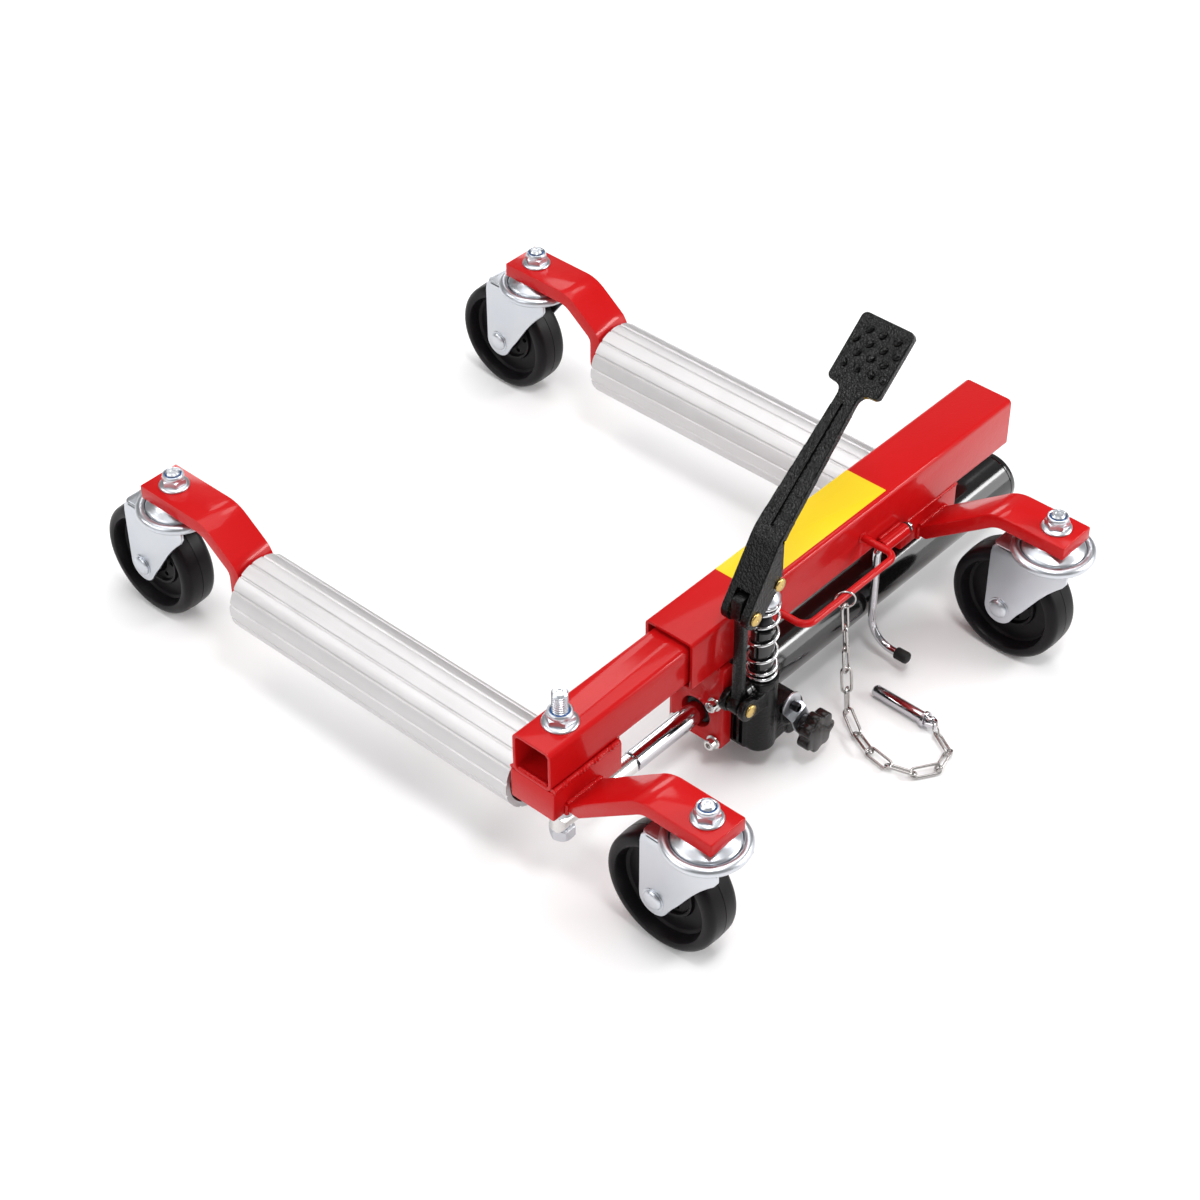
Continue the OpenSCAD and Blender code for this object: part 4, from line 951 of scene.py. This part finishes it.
dress(makePlunger(), "plunger", "black_oxide", "pump_plunger")
sleeve = turned("plungerSleeve", [(7.15, 99.2), (10.2, 99.2), (10.2, 150.6), (9.4, 151.6), (7.15, 151.6)],
                "z", tower, 64)
settle(sleeve, "beam", "black_cast_iron", finishes["black_enamel"])
collar = turned("springCollar", [(7.02, 179.9), (12.4, 180), (12.8, 180.6), (12.8, 183.6), (11.6, 185.4),
                                 (10.6, 187.4), (7.6, 190), (7.02, 190)], "z", tower, 64)
dress(collar, "plunger", "blue_zinc")
spring = {"radius": 12, "wire": 1.5, "low": 100.7, "high": 178.4, "turns": 6.75, "closed": 1.25,
          "shut": 0.8, "steps": 32, "travel": 24.5}


def makeSpring():
    s = spring
    span, coil = s["high"] - s["low"], 2 * s["wire"] + 0.12
    count = int(s["turns"] * s["steps"])
    points = []
    for i in range(count + 1):
        n = i / s["steps"]
        left = s["turns"] - n
        if n < s["closed"]:
            rise = n * coil
        elif left < s["shut"]:
            rise = span - left * coil
        else:
            part = (n - s["closed"]) / (s["turns"] - s["closed"] - s["shut"])
            ease = part - 0.05 * sin(part * tau)
            rise = s["closed"] * coil + (span - (s["shut"] + s["closed"]) * coil) * ease
        x = pump["x"] + s["radius"] * cos(n * tau)
        y = pump["y"] + s["radius"] * sin(n * tau)
        points.append((x, y, s["low"] + rise))
    return wire("returnSpring", points, s["wire"], False, 4)


coils = dress(makeSpring(), "plunger", "spring_steel", "return_spring", crease=70)
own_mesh(coils)
print("pump made")

pedal = {"bend": (64, 248.5), "angle": 40.9, "thick": 7, "forkWidth": 28, "slot": 13.6, "padReach": 160.5,
         "padLength": 60.3, "padWidth": 50.5}
# where the pad's raised studs stand, from the middle of the pad
studs = [(16.5, -15.6), (16.5, -1), (16.5, 11.8), (6, -20.9), (6, -8.3), (6, 5.5), (6, 18.7), (-4, -14.8),
         (-4, -1.7), (-4, 11.6), (-15, -20.4), (-15, -9), (-15, 4.8), (-15, 17.8)]


def makePedal():
    p = pedal
    c, s = cos(radians(p["angle"])), sin(radians(p["angle"]))
    bx, bz = p["bend"]
    reach = p["padReach"] + p["padLength"] / 2
    side = [(27.6, 191.2), (bx - 3, bz - 5), (bx + 1.2, bz + 0.4), (bx + reach * c, bz + reach * s),
            (bx + reach * c + p["thick"] * s, bz + reach * s - p["thick"] * c),
            (bx + 10 * c + p["thick"] * s, bz + 10 * s - p["thick"] * c), (69.5, 241.5), (69.5, 204),
            (61.5, 195.5), (43, 177.5)] + arc(pump["linkX"], pump["linkTop"], 10.2, -50, -215, 24)
    body = plate("footPedal", side, "y", -26, 52, 0)
    neck = p["padReach"] - p["padLength"] / 2
    half = p["forkWidth"] / 2
    arm = [(2, half), (6, half), (neck - 9, 9.4), (neck - 5, 9.9), (neck - 2, 11.6), (neck - 0.4, 15),
           (neck, 20)]
    pad = arc(reach - 5, p["padWidth"] / 2 - 5, 5, 90, 0, 6)
    right = arm + arc(neck + 5, p["padWidth"] / 2 - 5, 5, 180, 90, 6) + pad
    plan = right + [(u, -v) for u, v in right[::-1]]
    lean = Matrix.Translation((bx, 0, bz)) @ Matrix.Rotation(-radians(p["angle"]), 4, "Y")
    armAndPad = turnPiece(plate("plan", plan, "z", -30, 60), lean)
    block = plate("fork", box(10, 160, bx + 3.6, 262), "y", -half, 2 * half)
    lower = plate("fork", box(30, 160, 80, 242.5), "y", -half, 2 * half)
    keep = carve(block, lower, how="UNION")
    keep = carve(keep, armAndPad, how="UNION")
    carve(body, keep, how="INTERSECT")
    hollowSide = plate("hollow", [(18, -9), (neck - 10, -6), (neck - 10, 6), (18, 9)], "z",
                       -p["thick"] - 1, 3.5)
    slot = plate("slot", [(11.5, 165.5), (77.5, 165.5), (77.5, 235.5), (63, 235.5), (44.5, 204.5),
                          (36.5, 207.5), (11.5, 207.5)], "y", -p["slot"] / 2, p["slot"])
    bores = [boreAcross(pump["linkX"], pump["linkTop"], 5.05, 40),
             boreAcross(pump["x"], pump["pinZ"], 6.8, 40)]
    groove = plate("groove", [(7, -1.5), (neck - 14, -1.2), (neck - 12.5, 0), (neck - 14, 1.2), (7, 1.5)],
                   "z", -2.2, 8)
    extras = [groove]
    for u, v in studs:
        stud = turned("stud", [(0, -1), (3.5, -1), (3.4, 0.9), (2.9, 2.0), (1.6, 2.7), (0, 2.9)], "z",
                      steps=24)
        twist = Matrix.Rotation(radians(35 if int(u) % 2 else -35), 4, "Z")
        turnPiece(stud, Matrix.Translation((162 + u, v, 0)) @ twist @ Matrix.Diagonal((1.15, 0.85, 1, 1)))
        extras.append(stud)
    for extra in extras + [hollowSide]:
        turnPiece(extra, lean)
    carve(body, hollowSide)
    soften(body, 1.6, 2, 30)
    cast(body, 0.75, 3)
    carve(body, groove, slot, *bores)
    for stud in extras[1:]:
        carve(body, stud, how="UNION")
    soften(body, 0.3, 1, 50)
    return at(body, 0, pump["y"])


dress(makePedal(), "pedal", "pedal_enamel", "foot_pedal", crease=50)
print("pedal made")

loop = {"wire": 3.25, "x0": 100, "x1": 221, "y0": -25, "y1": -61, "z": 137, "bend": 10}
hook = {"wire": 3.5, "x": 236, "y": -31.35, "z": 116.5, "low": 42, "curl": 25}
hookLine = (0, hook["y"], hook["z"])


def makeLoop():
    g = loop
    low = g["y1"] + g["bend"]
    path = [(g["x0"], g["y0"])] + arc(g["x0"] + g["bend"], low, g["bend"], 180, 270, 12)
    path += arc(g["x1"] - g["bend"], low, g["bend"], 270, 360, 12) + [(g["x1"], g["y0"])]
    return wire("guideLoop", [(x, y, g["z"]) for x, y in path], g["wire"], False, 6)


dress(makeLoop(), "beam", "red_paint", "guide_loop")
barrel = turned("hookBarrel", [(3.6, 242), (5.8, 242), (6.3, 242.5), (6.3, 274.5), (5.8, 275),
                               (3.6, 275)], "x", hookLine, 48)
dress(barrel, "beam", "red_paint", "hook_barrel")


def makeHook():
    h = hook
    path = [(278, h["y"], h["z"]), (241, h["y"], h["z"])]
    path += [(u, h["y"], v) for u, v in arc(241, h["z"] - 5, 5, 99, 180, 9)]
    path += [(h["x"], u, v) for u, v in arc(h["y"] - h["curl"], h["low"], h["curl"], 0, -90, 20)]
    path.append((h["x"], h["y"] - h["curl"] - 14, h["low"] - h["curl"]))
    rod = wire("storageHook", path, h["wire"], False, 6)
    head = turned("head", [(0, 277), (4.2, 277), (5, 277.6), (5, 280.2), (4, 281), (0, 281)], "x",
                  hookLine, 40)
    return together("storageHook", [rod, head])


dress(makeHook(), "hook", "chrome", "storage_hook", crease=60)
washer = turned("hookWasher", [(3.5, 275.4), (5.7, 275.4), (5.75, 276.9), (3.5, 277)], "x", hookLine, 40)
settle(washer, "hook", "chrome", finishes["cap_rubber"])
cap = turned("hookCap", [(3.52, -60.35), (5.2, -60.35), (5.5, -60.9), (5.5, -71.2), (5.0, -72.4),
                         (3.5, -73.3), (0, -73.35), (0, -70.3), (3.52, -70.3)], "y",
             (hook["x"], 0, hook["low"] - hook["curl"]), 48)
dress(cap, "hook", "cap_rubber", "hook_cap")

chain = {"wire": 1.25, "width": 8.2, "pitch": 24, "slack": 1.7, "foot": (153, -71, 13),
         "top": (152, -61, 125.3), "hung": 5, "lay": 5.049, "headings": [241, 246, 261, 287, 327, 14, 61],
         "rolls": [0, 132, -1, 48, -17, 40, -25, 27, -28, 38, -38, 38]}


def chainJoints():
    c = chain
    top, foot = Vector(c["top"]), Vector(c["foot"])
    joints = [top.lerp(foot, i / c["hung"]) for i in range(c["hung"] + 1)]
    last = Vector((foot.x, foot.y, c["lay"]))
    for heading in c["headings"]:
        t = radians(heading)
        last = last + Vector((cos(t), sin(t), 0)) * (c["pitch"] - c["slack"])
        joints.append(last)
    return joints


def makeChain():
    c = chain
    r = c["width"] / 2
    half = (c["pitch"] + 2 * c["wire"] + 0.3) / 2 - r
    oval = arc(half, 0, r, -90, 90, 14) + arc(-half, 0, r, 90, 270, 14)
    joints = chainJoints()
    links = []
    for i, roll in enumerate(c["rolls"]):
        a, b = joints[i], joints[i + 1]
        d = b - a
        turn = (Matrix.Translation((a + b) / 2) @ Matrix.Rotation(math.atan2(d.y, d.x), 4, "Z")
                @ Matrix.Rotation(-math.atan2(d.z, math.hypot(d.x, d.y)), 4, "Y")
                @ Matrix.Rotation(radians(roll), 4, "X"))
        links.append(wire("link", [turn @ Vector((u, v, 0)) for u, v in oval], c["wire"], True, 4))
    return together("lockChain", links), joints[-1]


chainPiece, chainEnd = makeChain()
settle(chainPiece, "beam", "bright_plating", finishes["chain_steel"], "lock_chain", crease=70)
pinLine = Vector((0.527, 0.85, 0))
chainEnd.z = 0


def wireRing(name, centre, radius, across, up, thick=0.8):
    return wire(name, [centre + u * across + v * up for u, v in disc(0, 0, radius, 40)], thick, True, 4)


upper = wireRing("upperRing", Vector((152, -61, 132.85)), 8.5,
                 Vector((-sin(radians(42)), cos(radians(42)), 0)), Vector((0, 0, 1)))
lower = wireRing("lowerRing", chainEnd + 4.45 * pinLine + Vector((0, 0, 7.6)), 6.5, pinLine.normalized(),
                 Vector((0, 0, 1)))
settle(together("chainRings", [upper, lower]), "beam", "bright_plating", finishes["chain_steel"],
       "chain_rings", crease=70)


def makeLockPin():
    spot = chainEnd + 11.65 * pinLine
    shank = turned("lockPin", [(0, 1.2), (4.4, 1.2), (5, 1.8), (5, 4.4), (3.9, 5), (3.9, 6), (6.5, 6),
                               (7.3, 6.8), (7.3, 9), (6.5, 9.8), (5.5, 10.2), (5.5, 61.3), (5.1, 62.3),
                               (4.2, 63.5), (0, 63.5)], "y", steps=64)
    eye = plate("eye", arc(0, 0.9, 5.2, 180, 360, 20) + [(6, 2.2), (6, 4.5), (-6, 4.5), (-6, 2.2)], "z",
                -2, 4, 0.5)
    carve(eye, plate("bore", disc(0, 0, 2.3, 24), "z", -10, 20))
    body = together("lockPin", [shank, eye])
    return turnPiece(body, Matrix.Translation((spot.x, spot.y, 7.45))
                     @ Matrix.Rotation(radians(-2.2), 4, "Z") @ Matrix.Rotation(-radians(1.35), 4, "X"))


dress(makeLockPin(), "pin", "chrome", "lock_pin")
print("chain and pin made")

studio = {"floor": 0.95, "world": 0.62, "lens": 78.7}


def makeStage():
    bpy.ops.mesh.primitive_plane_add(size=14)
    floor = bpy.context.object
    floor.name = "studioFloor"
    f = Finish("floorPaper", (studio["floor"],) * 3, 0.9, Specular_IOR_Level=0.1)
    f.feed("Base Color", f.blend(f.noise(2), (studio["floor"],) * 3, (studio["floor"] - 0.01,) * 3))
    floor.data.materials.append(f.material)


def softbox(name, place, target, width, height, power):
    light = bpy.data.lights.new(name, "AREA")
    light.shape, light.size, light.size_y, light.energy = "RECTANGLE", width, height, power
    lamp = bpy.data.objects.new(name, light)
    bpy.context.collection.objects.link(lamp)
    lamp.location = place
    lamp.rotation_euler = (Vector(target) - Vector(place)).to_track_quat("-Z", "Y").to_euler()


# soft bright patches that only polished surfaces see: where each lies, its two radii in degrees, its level
glows = [((0.60, -0.75, 0.27), 13, 21, 3.4), ((0.53, 0.53, 0.66), 4.6, 6.4, 5),
         ((0.58, 0.74, 0.31), 4, 8, 6), ((-0.50, 0.62, 0.60), 6, 9, 9), ((0.57, 0.11, 0.82), 4, 7, 5)]


def glow(tree, direction, aim, near, far, level):
    dot = tree.nodes.new("ShaderNodeVectorMath")
    dot.operation = "DOT_PRODUCT"
    tree.links.new(direction, dot.inputs[0])
    dot.inputs[1].default_value = Vector(aim).normalized()
    reach = tree.nodes.new("ShaderNodeMapRange")
    reach.interpolation_type = "SMOOTHSTEP"
    tree.links.new(dot.outputs["Value"], reach.inputs["Value"])
    reach.inputs["From Min"].default_value = cos(radians(far))
    reach.inputs["From Max"].default_value = cos(radians(near))
    reach.inputs["To Max"].default_value = level
    return Signal(tree, reach.outputs["Result"])


def makeWorld():
    world = bpy.data.worlds.new("studioWorld")
    bpy.context.scene.world = world
    world.use_nodes = True
    tree = world.node_tree
    background = tree.nodes["Background"]
    rays = tree.nodes.new("ShaderNodeLightPath")
    seen = Signal(tree, rays.outputs["Is Camera Ray"])
    gloss = Signal(tree, rays.outputs["Is Glossy Ray"])
    through = Signal(tree, rays.outputs["Is Transmission Ray"])
    direction = tree.nodes.new("ShaderNodeTexCoord")
    split = tree.nodes.new("ShaderNodeSeparateXYZ")
    tree.links.new(direction.outputs["Generated"], split.inputs[0])
    ramp = tree.nodes.new("ShaderNodeValToRGB")
    stops = ramp.color_ramp.elements
    stops[0].position, stops[0].color = 0.0, (0.5, 0.5, 0.51, 1)
    stops[1].position, stops[1].color = 1.0, (1.0, 1.0, 1.0, 1)
    for position, level in ((0.12, 0.26), (0.4, 0.32), (0.62, 0.16), (0.8, 0.50)):
        stop = stops.new(position)
        stop.color = (level, level, level * 1.01, 1)
    tree.links.new(split.outputs["Z"], ramp.inputs[0])
    mirror = tree.nodes.new("ShaderNodeRGBToBW")
    tree.links.new(ramp.outputs[0], mirror.inputs[0])
    dull = 1 - (seen + gloss + through)
    shine = Signal(tree, mirror.outputs[0])
    for aim, near, far, level in glows:
        shine = shine + glow(tree, direction.outputs["Generated"], aim, near, far, level)
    strength = (seen + through) + gloss * shine + dull * studio["world"]
    tree.links.new(strength.socket, background.inputs["Strength"])
    background.inputs["Color"].default_value = (1, 1, 1, 1)


def makeCamera():
    data = bpy.data.cameras.new("camera")
    camera = bpy.data.objects.new("camera", data)
    bpy.context.collection.objects.link(camera)
    back = Vector((-0.565, -0.504, 0.654)).normalized()
    right = Vector((0.665, -0.747, 0))
    right = (right - back * right.dot(back)).normalized()
    up = back.cross(right)
    turn = Matrix((right, up, back)).transposed().to_4x4()
    spot = (Vector((-1190.57, -1003.51, 1549.8)) - mouth) / 1000
    camera.matrix_world = Matrix.Translation(spot) @ turn
    data.lens, data.sensor_width = studio["lens"], 36
    data.shift_x, data.shift_y = -14 / 1200, -9 / 1200
    data.clip_end = 40
    bpy.context.scene.camera = camera


makeStage()
makeWorld()
makeCamera()
softbox("overhead", (0.3, 0.5, 2.6), (0, 0, 0.1), 2.4, 1.8, 30)
softbox("leftBox", (-2.0, 0.5, 1.4), (0, 0, 0.1), 1.3, 1.5, 14)
softbox("rightBox", (1.5, -1.65, 1.3), (0, 0, 0.1), 1.5, 0.34, 26)
softbox("keyLight", (-0.5, -0.9, 2.3), (0, -0.1, 0.1), 0.45, 0.45, 16)
bpy.context.scene.view_settings.view_transform = "Standard"
print("studio made")
